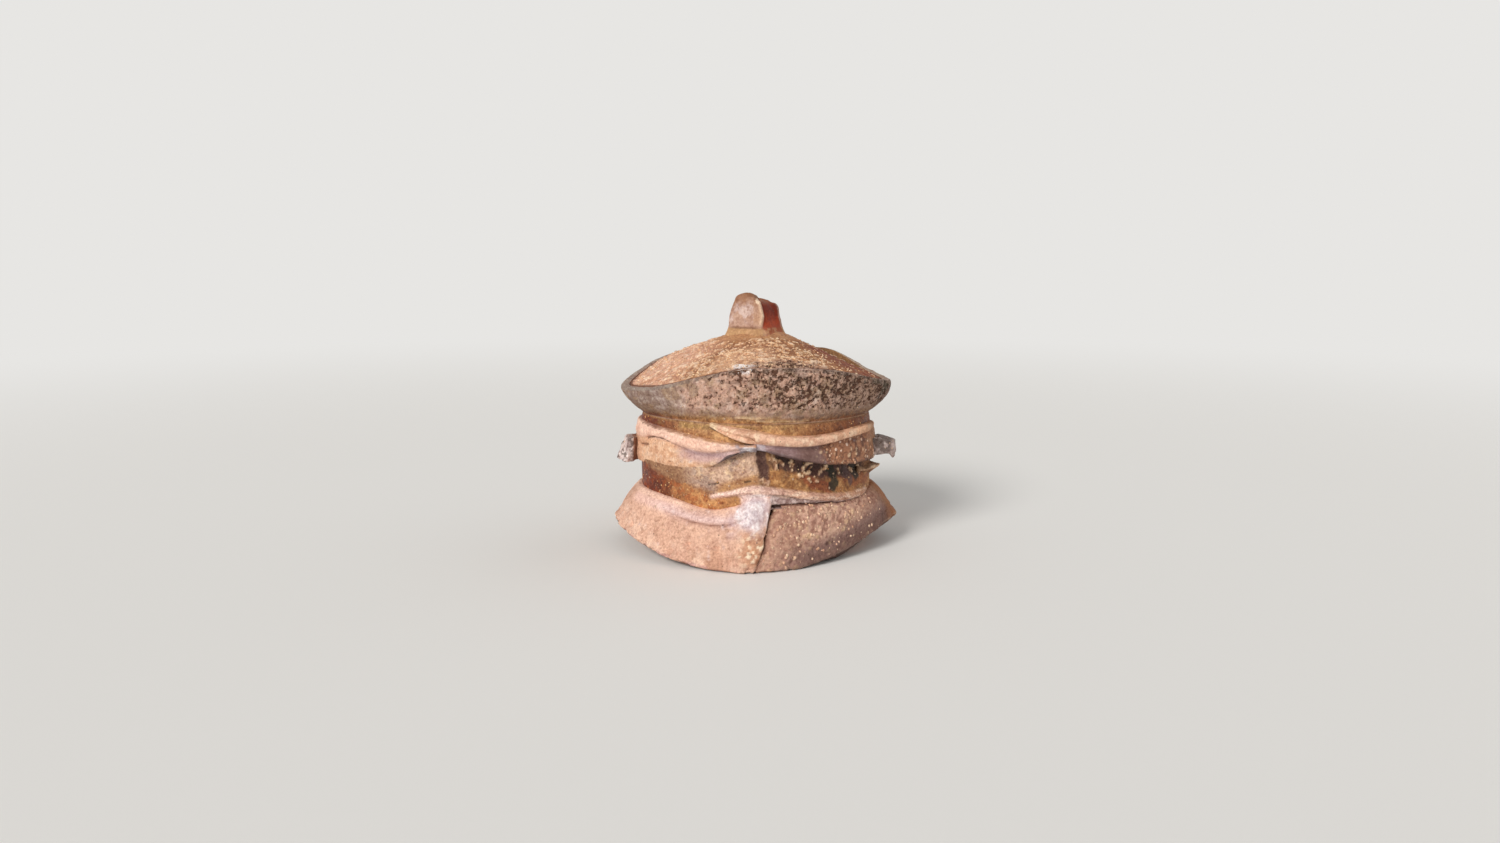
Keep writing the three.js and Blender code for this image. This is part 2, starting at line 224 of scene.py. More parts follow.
def nearness(angle, height, path, width):
    """1 on a path of (degrees, millimetres) drawn on the jar, falling to 0 a little beyond its width."""
    x = np.degrees(np.mod(angle, TURN)) * MM_PER_DEGREE
    best = np.full(np.shape(x), 1e9)
    for (a0, z0), (a1, z1) in zip(path[:-1], path[1:]):
        ax, bx = a0 * MM_PER_DEGREE, (a1 - a0) * MM_PER_DEGREE
        bz = z1 - z0
        t = np.clip(((x - ax) * bx + (height - z0) * bz) / (bx * bx + bz * bz), 0, 1)
        best = np.minimum(best, (x - ax - t * bx) ** 2 + (height - z0 - t * bz) ** 2)
    return np.exp(-best / width**2)


# Building meshes


def angles_round(step):
    count = round(TURN * MEAN_RADIUS / step)
    return np.arange(count) * TURN / count


def angles_between(start, end, step):
    count = max(2, round((end - start) * MEAN_RADIUS / step))
    return np.linspace(start, end, count + 1)


def profile_rows(stations, angles, closed):
    """Dense rows from a few stations of (reach, height, rounding, spacing to the next station)."""
    corners = []
    for reach, height, rounding, spacing in stations:
        r = reach(angles) if callable(reach) else np.full(len(angles), float(reach))
        z = height(angles) if callable(height) else np.full(len(angles), float(height))
        corners.append((np.stack([r, z], -1), rounding, spacing))
    count = len(corners)
    rows, tags = [], []
    for i in range(count):
        here, rounding, spacing = corners[i]
        after = corners[(i + 1) % count][0]
        before, _, spacing_before = corners[i - 1]
        to_next, to_last = after - here, before - here
        length_next = np.linalg.norm(to_next, axis=-1, keepdims=True) + 1e-6
        length_last = np.linalg.norm(to_last, axis=-1, keepdims=True) + 1e-6
        end = not closed and i in (0, count - 1)
        if end or rounding == 0:
            rows.append(here)
            tags.append(i)
            leave = here
        else:
            cut_next = np.minimum(rounding, 0.48 * length_next)
            cut_last = np.minimum(rounding, 0.48 * length_last)
            enter = here + to_last / length_last * cut_last
            leave = here + to_next / length_next * cut_next
            turns = max(2, math.ceil(2 * float(np.mean(cut_next)) / min(spacing, spacing_before)))
            for k in range(turns + 1):
                t = k / turns
                rows.append((1 - t) ** 2 * enter + 2 * t * (1 - t) * here + t * t * leave)
                tags.append(i if k > turns / 2 else i - 1)
        if closed or i < count - 1:
            target_rounding = 0 if (not closed and i + 1 == count - 1) else corners[(i + 1) % count][1]
            arrive = after - to_next / length_next * np.minimum(target_rounding, 0.48 * length_next)
            gap = float(np.mean(np.linalg.norm(arrive - leave, axis=-1)))
            pieces = max(1, round(gap / spacing))
            for k in range(1, pieces):
                rows.append(leave + (arrive - leave) * k / pieces)
                tags.append(i)
    return np.array(rows), np.array(tags)


def grid_normals(points, wrap_rows, wrap_columns):
    def change(axis, wrap):
        if wrap:
            return np.roll(points, -1, axis) - np.roll(points, 1, axis)
        return np.gradient(points, axis=axis)

    normal = np.cross(change(1, wrap_columns), change(0, wrap_rows))
    return normal / np.maximum(np.linalg.norm(normal, axis=-1, keepdims=True), 1e-9)


class Clay:
    """One piece of clay: rows of points round the jar, with a tint and masks at each point."""

    def __init__(self, stations, angles, closed_round=True, dome=False, centre=(0, 0)):
        self.angles = angles
        self.dome = dome
        self.closed_round = closed_round
        rows, self.tags = profile_rows(stations, angles, closed=not dome)
        reach, height = rows[..., 0], rows[..., 1]
        x, y = centre[0] + reach * np.cos(angles), centre[1] + reach * np.sin(angles)
        self.points = np.stack([x, y, height], -1)
        self.masks = {}
        self.tint = np.ones(self.points.shape)
        self.refresh()

    def refresh(self):
        self.normal = grid_normals(self.points, not self.dome, self.closed_round)
        self.angle = np.arctan2(self.points[..., 1], self.points[..., 0])
        self.degrees = np.degrees(np.mod(self.angle, TURN))
        self.height = self.points[..., 2]
        self.x, self.y = self.points[..., 0], self.points[..., 1]

    def push(self, amount):
        """Moves the surface out by an amount in millimetres at every point."""
        self.points = self.points + self.normal * np.asarray(amount)[..., None]
        self.refresh()

    def lift(self, amount):
        """Moves the surface straight up by an amount in millimetres at every point."""
        self.points[..., 2] += amount
        self.refresh()

    def fresh(self, *stations):
        """1 on the rows from one of the stations named to the next, and 0 elsewhere."""
        return np.isin(self.tags, stations)[:, None] * np.ones(len(self.angles))

    def paint(self, colour, amount):
        """Lays a colour over the tint: red, green and blue up to 255, or a ready array of linear colours.

        The amount, from 0 to 1 at each point, says how strongly and where.
        """
        if isinstance(colour, tuple):
            colour = fired(*colour)
        amount = np.broadcast_to(np.clip(amount, 0, 1), self.height.shape)[..., None]
        self.tint = self.tint * (1 - amount) + colour * amount

    def spot(self, degrees, height, wide, tall):
        """A soft spot on the surface: its place, and its half sizes in degrees and millimetres."""
        return hill(turn_from(self.degrees, degrees), wide) * hill(self.height - height, tall)

    def near(self, path, width):
        return nearness(self.angle, self.height, path, width)

    def lumps(self, size, seed):
        return lumps(self.points, size, seed)

    def rough(self, size, seed, octaves=3, fall=0.55):
        return rough(self.points, size, seed, octaves, fall)

    def blotches(self, size, seed, low=0.1, high=0.5, octaves=4):
        """Patches of about `size` millimetres: 1 within them, 0 between."""
        return smooth(low, high, self.rough(size, seed, octaves))

    def mesh(self, name, material_of_tag, materials):
        rows, columns = self.points.shape[:2]
        points = self.points.reshape(-1, 3)
        index = np.arange(rows * columns).reshape(rows, columns)
        last_column = columns if self.closed_round else columns - 1
        last_row = rows - 1 if self.dome else rows
        row = np.arange(last_row)[:, None]
        column = np.arange(last_column)[None, :]
        a = index[row, column]
        b = index[row, (column + 1) % columns]
        c = index[(row + 1) % rows, (column + 1) % columns]
        d = index[(row + 1) % rows, column]
        quads = np.stack([a, b, c, d], -1).reshape(-1, 4)
        slots = np.array([material_of_tag.get(int(t), 0) for t in self.tags[:last_row]])
        faces = quads.tolist()
        face_slots = np.repeat(slots, last_column).tolist()
        if not self.closed_round:
            faces.append(index[:, 0].tolist())
            faces.append(index[::-1, -1].tolist())
            face_slots += [0, 0]
        if self.dome:
            bottom, top = len(points), len(points) + 1
            ends = [self.points[0].mean(0), self.points[-1].mean(0)]
            points = np.vstack([points, ends])
            for i in range(columns):
                j = (i + 1) % columns
                faces.append([bottom, int(index[0, j]), int(index[0, i])])
                faces.append([top, int(index[-1, i]), int(index[-1, j])])
                face_slots += [int(slots[0]), int(slots[-1])]
        data = bpy.data.meshes.new(name)
        data.from_pydata((points * MM).tolist(), [], faces)
        for material in materials:
            data.materials.append(material)
        data.polygons.foreach_set("material_index", face_slots)
        data.polygons.foreach_set("use_smooth", [True] * len(faces))
        extra = len(points) - rows * columns
        tint = np.concatenate([self.tint.reshape(-1, 3), self.tint.reshape(-1, 3)[-1:].repeat(extra, 0)])
        colour = data.attributes.new("tint", "FLOAT_COLOR", "POINT")
        colour.data.foreach_set("color", np.column_stack([tint, np.ones(len(tint))]).ravel())
        for mask, values in self.masks.items():
            flat = np.broadcast_to(values, (rows, columns)).ravel()
            layer = data.attributes.new(mask, "FLOAT", "POINT")
            layer.data.foreach_set("value", np.concatenate([flat, flat[-1:].repeat(extra)]))
        data.update()
        return place_object(name, data)

    def soften_ends(self, radius):
        """Rounds the two cut ends of a strip or slab."""
        middle = self.points.mean(0)
        along = np.linalg.norm(np.diff(middle, axis=0), axis=-1)
        from_start = np.concatenate([[0], np.cumsum(along)])
        from_end = from_start[-1] - from_start
        away = np.minimum(np.minimum(from_start, from_end), radius)
        inset = radius - np.sqrt(radius**2 - (radius - away) ** 2)
        inward = middle[None] - self.points
        reach = np.maximum(np.linalg.norm(inward, axis=-1, keepdims=True), 1e-6)
        self.points = self.points + inward / reach * np.minimum(inset[None, :, None], 0.8 * reach)
        self.refresh()


# Node helpers


def place_object(name, data):
    thing = bpy.data.objects.new(name, data)
    bpy.context.scene.collection.objects.link(thing)
    return thing


def put(tree, kind, inputs=None, **settings):
    """Adds a node. Inputs are values or sockets, by name or number."""
    node = tree.nodes.new(kind)
    for key, value in settings.items():
        setattr(node, key, value)
    for key, value in (inputs or {}).items():
        if isinstance(value, bpy.types.NodeSocket):
            tree.links.new(value, node.inputs[key])
        else:
            node.inputs[key].default_value = value
    return node


def math_node(tree, operation, a, b=0.5, clamp=False):
    return put(tree, "ShaderNodeMath", {0: a, 1: b}, operation=operation, use_clamp=clamp).outputs[0]


def arithmetic(tree):
    """Short names for a tree's own products, sums and differences."""
    return [functools.partial(math_node, tree, operation) for operation in ("MULTIPLY", "ADD", "SUBTRACT")]


def ramp(tree, value, low, high, to_low=0.0, to_high=1.0):
    inputs = {"Value": value, "From Min": low, "From Max": high, "To Min": to_low, "To Max": to_high}
    return put(tree, "ShaderNodeMapRange", inputs, interpolation_type="SMOOTHSTEP").outputs["Result"]


def blend_colour(tree, amount, under, over, mode="MIX"):
    inputs = {0: amount, 6: under, 7: over}
    return put(tree, "ShaderNodeMix", inputs, data_type="RGBA", blend_type=mode).outputs[2]


def own_place(tree):
    return put(tree, "ShaderNodeTexCoord").outputs["Object"]


def noise(tree, place, scale, detail, roughness=0.5, distortion=0.0):
    inputs = {
        "Vector": place, "Scale": scale, "Detail": detail, "Roughness": roughness, "Distortion": distortion
    }
    return put(tree, "ShaderNodeTexNoise", inputs).outputs


SOCKETS = {float: "NodeSocketFloat", int: "NodeSocketInt", tuple: "NodeSocketColor"}


def new_tree(name, kind, inputs, outputs):
    """A node group with named sockets. Each is given a default value, or else the name of its kind."""
    tree = bpy.data.node_groups.new(name, kind)
    for direction, sockets in (("INPUT", inputs), ("OUTPUT", outputs)):
        for label, default in sockets.items():
            kind_only = isinstance(default, str)
            socket_kind = "NodeSocket" + default if kind_only else SOCKETS[type(default)]
            socket = tree.interface.new_socket(label, in_out=direction, socket_type=socket_kind)
            if not kind_only:
                socket.default_value = default
    return tree, tree.nodes.new("NodeGroupInput").outputs, tree.nodes.new("NodeGroupOutput")


def put_out(tree, out, results):
    for label, socket in results.items():
        tree.links.new(socket, out.inputs[label])
    return tree


# Effects that the fired surfaces share


def spots_mask(tree, position, size, share, smallest, largest):
    """Scattered spots: 1 in the middle of each that is kept. Radii are shares of the space between spots."""
    scale = math_node(tree, "DIVIDE", 1.0, size)
    cells = put(tree, "ShaderNodeTexVoronoi", {"Vector": position, "Scale": scale, "Randomness": 1.0})
    kept = put(tree, "ShaderNodeSeparateColor", {"Color": cells.outputs["Color"]})
    is_kept = math_node(tree, "LESS_THAN", kept.outputs[0], share)
    inputs = {"Value": kept.outputs[1], "To Min": smallest, "To Max": largest}
    radius = put(tree, "ShaderNodeMapRange", inputs).outputs[0]
    core = math_node(tree, "MULTIPLY", radius, 0.35)
    return math_node(tree, "MULTIPLY", ramp(tree, cells.outputs["Distance"], core, radius, 1.0, 0.0), is_kept)


def make_clay_grain():
    """Mottling, sand and iron specks in fired clay."""
    inputs = {"Colour": (0.7, 0.4, 0.3, 1), "Mottle": 0.3, "Sand": 0.6, "Specks": 0.12}
    group, given, out = new_tree(
        "clay grain", "ShaderNodeTree", inputs, {"Colour": "Color", "Height": "Float"}
    )
    times, plus, minus = arithmetic(group)
    place = own_place(group)
    mottle = noise(group, place, 130.0, 5.0, 0.6)["Fac"]
    sand = noise(group, place, 640.0, 4.0, 0.7)["Fac"]
    swing = plus(times(minus(mottle, 0.5), given["Mottle"]), times(minus(sand, 0.5), given["Sand"]))
    lift = math_node(group, "MAXIMUM", plus(times(swing, 2.6), 1.0), 0.25)
    red_lift = math_node(group, "POWER", lift, 0.75)
    shade = put(group, "ShaderNodeCombineColor", {0: red_lift, 1: lift, 2: lift}).outputs[0]
    toned = blend_colour(group, 1.0, given["Colour"], shade, "MULTIPLY")
    specks = spots_mask(group, place, 0.0032, given["Specks"], 0.08, 0.24)
    specked = blend_colour(group, times(specks, 0.8), toned, (0.075, 0.035, 0.022, 1))
    relief = minus(plus(mottle, times(sand, 1.2)), times(specks, 0.6))
    return put_out(group, out, {"Colour": specked, "Height": relief})


def make_ash_flecks():
    """Cream flecks of fly ash that stuck and half melted."""
    inputs = {
        "Colour": (0.5, 0.3, 0.2, 1), "Fleck Colour": (0.82, 0.56, 0.38, 1), "Size": 0.0013, "Amount": 0.5
    }
    outputs = {"Colour": "Color", "Height": "Float", "Flecks": "Float"}
    group, given, out = new_tree("ash flecks", "ShaderNodeTree", inputs, outputs)
    times, _, _ = arithmetic(group)
    place = own_place(group)
    drift = noise(group, place, 800.0, 3.0)["Color"]
    warp_inputs = {0: drift, "Scale": times(given["Size"], 1.6)}
    warp = put(group, "ShaderNodeVectorMath", warp_inputs, operation="SCALE").outputs[0]
    moved = put(group, "ShaderNodeVectorMath", {0: place, 1: warp}, operation="ADD").outputs[0]
    large = spots_mask(group, moved, times(given["Size"], 2.2), given["Amount"], 0.14, 0.42)
    small = spots_mask(group, moved, times(given["Size"], 1.1), given["Amount"], 0.14, 0.42)
    flecks = math_node(group, "MAXIMUM", large, times(small, 0.65))
    flecked = blend_colour(group, flecks, given["Colour"], given["Fleck Colour"])
    return put_out(group, out, {"Colour": flecked, "Height": flecks, "Flecks": flecks})


def make_crust():
    """Dry crust with ragged dark pits where it burst."""
    inputs = {
        "Colour": (0.5, 0.33, 0.26, 1), "Pit Colour": (0.13, 0.058, 0.034, 1), "Size": 0.0021, "Amount": 0.5
    }
    group, given, out = new_tree(
        "burst crust", "ShaderNodeTree", inputs, {"Colour": "Color", "Height": "Float"}
    )
    times, plus, minus = arithmetic(group)
    scale = math_node(group, "DIVIDE", 1.0, given["Size"])
    blotches = noise(group, own_place(group), scale, 5.0, 0.68, 0.25)["Fac"]
    edge = ramp(group, given["Amount"], 0.0, 1.0, 0.68, 0.45)
    shown = times(ramp(group, blotches, edge, plus(edge, 0.06)), ramp(group, given["Amount"], 0.02, 0.2))
    island = ramp(group, blotches, minus(edge, 0.16), minus(edge, 0.04), 1.0, 0.0)
    pale = times(times(island, given["Amount"]), 0.7)
    lit = blend_colour(group, pale, given["Colour"], (0.6, 0.43, 0.36, 1))
    pitted = blend_colour(group, shown, lit, given["Pit Colour"])
    return put_out(group, out, {"Colour": pitted, "Height": times(shown, -1.0)})


def make_melted_ash():
    """Melted ash: glossy, pooled and run, darker where it is thick, with golden glints."""
    inputs = {"Colour": (0.4, 0.2, 0.1, 1), "Melt": 0.5, "Dry Roughness": 0.8, "Gloss Roughness": 0.28}
    outputs = {"Colour": "Color", "Roughness": "Float", "Height": "Float"}
    group, given, out = new_tree("melted ash", "ShaderNodeTree", inputs, outputs)
    times, plus, _ = arithmetic(group)
    place = own_place(group)
    runs = put(group, "ShaderNodeMapping", {"Vector": place, "Scale": (1.0, 1.0, 0.6)}).outputs[0]
    streaks = noise(group, runs, 420.0, 5.0, 0.65)["Fac"]
    pools = noise(group, place, 150.0, 4.0)["Fac"]
    thick = ramp(group, plus(streaks, pools), 0.85, 1.2)
    darker = blend_colour(
        group, times(thick, given["Melt"]), given["Colour"], (0.5, 0.42, 0.34, 1), "MULTIPLY"
    )
    gold = spots_mask(group, place, 0.0024, 0.6, 0.08, 0.26)
    glints = times(gold, times(given["Melt"], 0.8))
    glinting = blend_colour(group, glints, darker, (0.82, 0.5, 0.24, 1))
    gloss = times(given["Melt"], ramp(group, thick, 0.0, 0.7, 0.55, 1.0), clamp=True)
    mixed = put(group, "ShaderNodeMix", {0: gloss, 2: given["Dry Roughness"], 3: given["Gloss Roughness"]})
    relief = plus(thick, times(gold, 0.8))
    return put_out(group, out, {"Colour": glinting, "Roughness": mixed.outputs[0], "Height": relief})


CLAY_GRAIN, ASH_FLECKS, CRUST, MELTED_ASH = (
    make_clay_grain(), make_ash_flecks(), make_crust(), make_melted_ash()
)


def fired_surface(name, mottle, sand, specks, bump_depth):
    """A fired surface: the piece's own tint under the effects, each steered by the piece's own masks."""
    material = bpy.data.materials.new(name)
    material.use_nodes = True
    tree = material.node_tree
    shader = tree.nodes["Principled BSDF"]
    times, plus, _ = arithmetic(tree)

    def own(label, output="Fac"):
        return put(tree, "ShaderNodeAttribute", attribute_name=label).outputs[output]

    def effect(group, **values):
        return put(tree, "ShaderNodeGroup", values, node_tree=group).outputs

    clay = effect(CLAY_GRAIN, Colour=own("tint", "Color"), Mottle=mottle, Sand=sand, Specks=specks)
    ash = effect(MELTED_ASH, Colour=clay["Colour"], Melt=own("melt"))
    burst = effect(CRUST, Colour=ash["Colour"], Amount=own("crust"))
    flecks = effect(ASH_FLECKS, Colour=burst["Colour"], Amount=own("fleck"))
    dull = put(tree, "ShaderNodeMix", {0: flecks["Flecks"], 2: ash["Roughness"], 3: 0.62})
    relief = plus(times(clay["Height"], 0.3), times(flecks["Height"], 0.9))
    relief = plus(relief, times(burst["Height"], 1.1))
    relief = plus(relief, times(ash["Height"], times(own("melt"), 0.35)))
    bumps = put(tree, "ShaderNodeBump", {"Height": relief, "Distance": bump_depth, "Strength": 1.0})
    tree.links.new(flecks["Colour"], shader.inputs["Base Color"])
    tree.links.new(dull.outputs[0], shader.inputs["Roughness"])
    tree.links.new(bumps.outputs["Normal"], shader.inputs["Normal"])
    shader.inputs["Specular IOR Level"].default_value = 0.3
    return material


# Colours of the fired clay, as a colour picker shows them


def fired(red, green, blue):
    c = np.array((red, green, blue)) / 255
    return np.where(c > 0.04045, ((c + 0.055) / 1.055) ** 2.4, c / 12.92)


def turning(under, over, share):
    """One fired colour turning into another."""
    share = share[..., None]
    return fired(*under) * (1 - share) + fired(*over) * share


# The last of these, a near-black brown, marks scorched spots on the rim and is also painted shade in cracks,
# under the skirt and on faces against the wall.
ROSE_BROWN, AMBER, DARK_BROWN, BURNT_AND_SHADE = (190, 145, 124), (180, 120, 76), (92, 60, 44), (60, 42, 34)
LUG_PALE, LUG_GREY, INSIDE_CLAY = (218, 196, 190), (128, 111, 104), (176, 136, 110)


def level(z):
    return lambda angle: np.full(np.shape(angle), float(z))


def offset(plan, by):
    return lambda angle: plan(angle) + by


def between(plan_a, plan_b, share):
    return lambda angle: plan_a(angle) * (1 - share) + plan_b(angle) * share


def along(degrees, *stops):
    """A value that changes round the jar, from stops of (degrees, value), with its corners eased."""
    places, values = [stop[0] for stop in stops], [stop[1] for stop in stops]
    return sum(
        share * np.interp(degrees + turn, places, values) for turn, share in ((-2, 0.25), (0, 0.5), (2, 0.25))
    )


def weather(piece, deep=0.55, middle=0.2, fine=0.1, seed=1, where=1.0):
    """The unevenness that hands, slurry and fire leave."""
    p = piece.points
    relief = (
        deep * lumps(p, 42, seed) + middle * rough(p, 13, seed + 5, 2) + fine * rough(p, 3.2, seed + 9, 2)
    )
    piece.push(relief * where)


def finish(piece, body, slot, *nodes):
    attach(piece, body)
    if nodes:
        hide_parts(*nodes)
    return piece


# How strong the mottling, the sand and the specks are, and the depth of the bumps in metres

CLAY_MATERIAL = fired_surface("bare fired clay", 0.32, 0.7, 0.2, 0.0007)
GLAZE_MATERIAL = fired_surface("melted ash glaze", 0.6, 1.1, 0.24, 0.0007)
CRUST_MATERIAL = fired_surface("dry ash crust", 0.4, 1.1, 0.2, 0.0009)
LID_MATERIAL = fired_surface("flecked lid clay", 0.5, 0.9, 0.08, 0.0008)
KNOB_MATERIAL = fired_surface("flashed knob clay", 0.35, 0.55, 0.05, 0.0005)
LUG_MATERIAL = fired_surface("pale lug clay", 0.4, 0.8, 0.06, 0.0007)
INSIDE_MATERIAL = fired_surface("inside of the jar", 0.3, 0.4, 0.1, 0.0005)


# Floor and wall


def make_floor_slab():
    slab = Clay(
        [
            (4, 0, 0, 9),
            (offset(wall_outside, -FLOOR_TAPER), 0, 1, 1.5),
            (offset(wall_outside, -0.6 * FLOOR_TAPER), 0.2 * FLOOR_THICK, 1, 1.5),
            (offset(wall_outside, -0.4), FLOOR_THICK, 0, 4),
            (offset(cavity, -1), FLOOR_THICK, 4, 2.5),
            (4, FLOOR_THICK, 0, 9),
        ],
        angles_round(1.8),
        dome=True,
    )
    under = slab.height < 0.01
    slab.push(0.3 * slab.rough(9, 3, 3) * ~under)
    inside = slab.fresh(3, 4, 5)
    slab.paint((196, 146, 120), 1 - inside)
    slab.paint((150, 108, 92), 0.5 * slab.blotches(30, 8) * (1 - inside))
    slab.paint(INSIDE_CLAY, inside)
    slab.paint(AMBER, 0.6 * inside * slab.blotches(26, 5))
    slab.masks["melt"] = 0.7 * inside * slab.blotches(30, 6, -0.2, 0.4)
    return slab.mesh("floor_slab_clay", {3: 1, 4: 1, 5: 1}, [CLAY_MATERIAL, INSIDE_MATERIAL])


def roll_middle(degrees):
    return along(
        degrees,
        (244, 46.6),
        (250, 48.6),
        (255, 49.7),
        (261, 51.4),
        (267, 53),
        (272, 53.4),
        (279, 51.6),
        (291, 48.9),
        (306, 45.6),
        (322, 43.2),
        (350, 43),
    )


def neck_colour(degrees):
    """The melted ash under the collar: red brown at the ends, golden brown at the front."""
    red = along(degrees, (0, 1), (180, 1), (208, 1), (226, 0.6), (248, 0), (280, 0), (300, 0.55), (330, 0.85))
    return turning((208, 154, 104), (116, 48, 18), red)


# Torn crumbs of clay on the wall, each a path of (degrees, millimetres) and its width

WALL_CRUMBS = (
    ([(289.6, 73.6), (290.6, 67.2)], 1.7),
    ([(293.4, 61), (295, 64.6), (298.4, 66.2), (300.2, 69.4), (303, 69)], 1.15),
    ([(295.6, 61.4), (299, 62), (301.6, 64.4)], 1.0),
    ([(307.4, 61.4), (310, 63.4), (314, 66.6)], 1.0),
    ([(329.6, 63.4), (331, 59.6)], 1.2),
    ([(321, 62.2), (321.8, 59.4)], 1.0),
    ([(338, 60.4), (341, 58.4)], 1.0),
    ([(273.8, 59.2), (276, 58.2)], 1.3),
    ([(299.4, 58.6), (300.4, 57.4)], 1.0),
    ([(303.6, 58), (304.6, 56.8)], 1.0),
    ([(286, 63.4), (286.6, 62.4)], 0.9),
)


def make_wall():
    wall = Clay(
        [
            (cavity, FLOOR_THICK - 0.5, 0, 5),
            (offset(wall_outside, -0.5), FLOOR_THICK - 0.5, 0, 5),
            (wall_outside, SKIRT_TOP - 5, 0, 0.75),
            (wall_outside, STRIP_TOP + 4, 3, 0.75),
            (offset(wall_outside, -1.3), COLLAR_BOTTOM - 1, 1, 0.75),
            (offset(wall_outside, -1.8), COLLAR_BOTTOM + 0.7, 0, 4),
            (offset(cavity, 0.3), COLLAR_BOTTOM + 0.7, 0, 2.5),
        ],
        angles_round(0.82),
    )
    paint, push = wall.paint, wall.push
    outside = wall.fresh(2, 3, 4) * smooth(SKIRT_TOP - 7, SKIRT_TOP - 4.5, wall.height)
    outside = outside * smooth(COLLAR_BOTTOM, COLLAR_BOTTOM - 2, wall.height)
    inside = wall.fresh(6)
    deg, z = wall.degrees, wall.height

    weather(wall, where=outside, deep=0.5, middle=0.35, fine=0.14)
    throwing = np.sin(z / 5.2 + 0.8 * wall.lumps(60, 4))
    push(inside * (0.35 * throwing + 0.3 * wall.lumps(30, 3)))
    ragged, broken = wall.rough(3.6, 27, 3), wall.rough(2.1, 46, 2)
    wander = rad(0.5) * wall.rough(4, 29, 2), 0.6 * wall.rough(3.4, 30, 2)

    def on_path(path, width, fray=0.3, gaps=0.0):
        near = nearness(wall.angle + wander[0], wall.height + wander[1], path, width)
        return smooth(0.32, 0.62, near + (fray * ragged + gaps * broken) * smooth(0.02, 0.3, near))

    middle = roll_middle(deg)
    reach = along(
        deg, (241, 0), (250, 2), (258, 4), (266, 5.8), (272, 6.4), (285, 6.2), (300, 5.2), (320, 4.4),
        (336, 3.2), (350, 0),
    )
    half_up = along(
        deg, (244, 1), (255, 1.8), (261, 2.7), (267, 3.3), (279, 3.2), (291, 2.9), (306, 2.5), (340, 2.2)
    )
    half_down = along(deg, (244, 1), (255, 1.7), (262, 2.6), (270, 3.2), (345, 3.2))
    held = smooth(258, 270, deg)
    above = hill(z - middle, half_up)
    below = hill(z - middle, half_down)
    below = below * (1 - held) + held * (0.74 + 0.26 * hill(z - middle, 2.4))
    roll = np.where(z > middle, above, below) * smooth(38.5, 41, z)
    push(outside * reach * roll)
    under_line = [(258, 48), (262, 49.3), (267, 50), (275, 49.8), (283, 49.6), (291, 46.6), (300, 43.6)]
    push(-0.8 * outside * wall.near(under_line, 0.8) * (1 - bump(wall.angle, 268, 7)))

    left_lower, right_lower = left_strip_lower(wall.angle), right_strip_lower(wall.angle)
    belly = span(deg, 188, 204, 238, 252) * smooth(-11, -1, z - left_lower)
    push(3.0 * outside * belly * smooth(7, 3, z - left_lower))
    fringe = 2.2 * wall.rough(7, 28, 2)
    under_strip = span(deg, 275, 281, 338, 350)
    recess = under_strip * span(z - right_lower, -13, -4, 8, 12)
    push(-3.4 * outside * recess)
    shade = under_strip * smooth(-11, -7.5, z - right_lower + fringe)
    corner_path = [(272, 82), (273, 72), (274.6, 61)]
    push(-1.3 * outside * wall.near(corner_path, 4.0))
    patches = on_path([(277.5, 74), (280, 72), (285, 70.4)], 1.8)
    patches = np.maximum(patches, on_path([(279.2, 76.4), (280.5, 67.6)], 1.6))
    for path, width in WALL_CRUMBS:
        patches = np.maximum(patches, on_path(path, 1.3 * width, 0.3, 0.6))
    push(1.2 * outside * patches * (0.7 + 0.5 * broken))
    left_crack = wall.near([(244, 55.2), (247, 55.6), (249.5, 56.6)], 0.55)
    cracks = np.maximum(left_crack, wall.near([(264, 58), (267, 59)], 0.6))
    push(-1.2 * outside * cracks)

    paint((150, 112, 78), 1)
    paint((176, 128, 84), outside * wall.blotches(40, 21, -0.3, 0.5))
    paint(DARK_BROWN, 0.5 * outside * wall.blotches(26, 22, 0.2, 0.9) * smooth(90, 60, z))
    waist = span(z, 35, 39, 66, 72)
    left = span(deg, 140, 176, 252, 262)
    paint((158, 116, 86), left * waist)
    khaki = smooth(224, 240, deg + 4 * wall.lumps(14, 8)) * smooth(273, 270, deg)
    paint((208, 170, 146), khaki * smooth(50, 56, z) * outside)
    paint((168, 140, 128), 0.7 * khaki * outside * wall.blotches(7, 31, 0.0, 0.5))
    paint((226, 188, 152), 0.7 * khaki * outside * smooth(0.35, 0.6, ragged) * smooth(56, 62, z))
    paint((182, 130, 82), 0.85 * span(deg, 244, 254, 270, 273) * waist * smooth(9, 4, z - middle - half_up))
    red_top = along(
        deg, (180, 66), (198, 65), (206, 61), (216, 57), (232, 52.6), (240, 50), (250, 47.5), (270, 47)
    )
    red = left * waist * smooth(2, -2, z - red_top + 1.6 * ragged)
    paleness = along(deg, (180, 0), (210, 0.1), (226, 0.7), (240, 1))
    paint(turning((112, 34, 12), (198, 140, 90), paleness), red)
    paint((84, 36, 24), 0.6 * red * wall.blotches(4, 36, 0.0, 0.5) * smooth(236, 214, deg))
    scratches = wall.blotches(3, 37, 0.15, 0.5, 2)
    paint((168, 82, 40), 0.5 * red * scratches)
    right = span(deg, 273, 277, 352, 358)
    paint((176, 122, 76), right * waist)
    paint((208, 158, 106), 0.6 * right * waist * wall.blotches(3, 38, 0.15, 0.45, 2))
    paint((120, 78, 50), 0.6 * right * waist * wall.blotches(3.4, 44, 0.15, 0.45, 2))
    paint((146, 80, 52), 0.85 * right * waist * on_path([(298, 60), (304, 54), (311, 51)], 5))
    paint((158, 92, 56), 0.85 * right * waist * on_path([(322, 58), (334, 52), (347, 50)], 5))
    paint((94, 64, 56), shade * outside)
    paint((64, 44, 38), shade * outside * wall.blotches(6, 39, -0.1, 0.5))
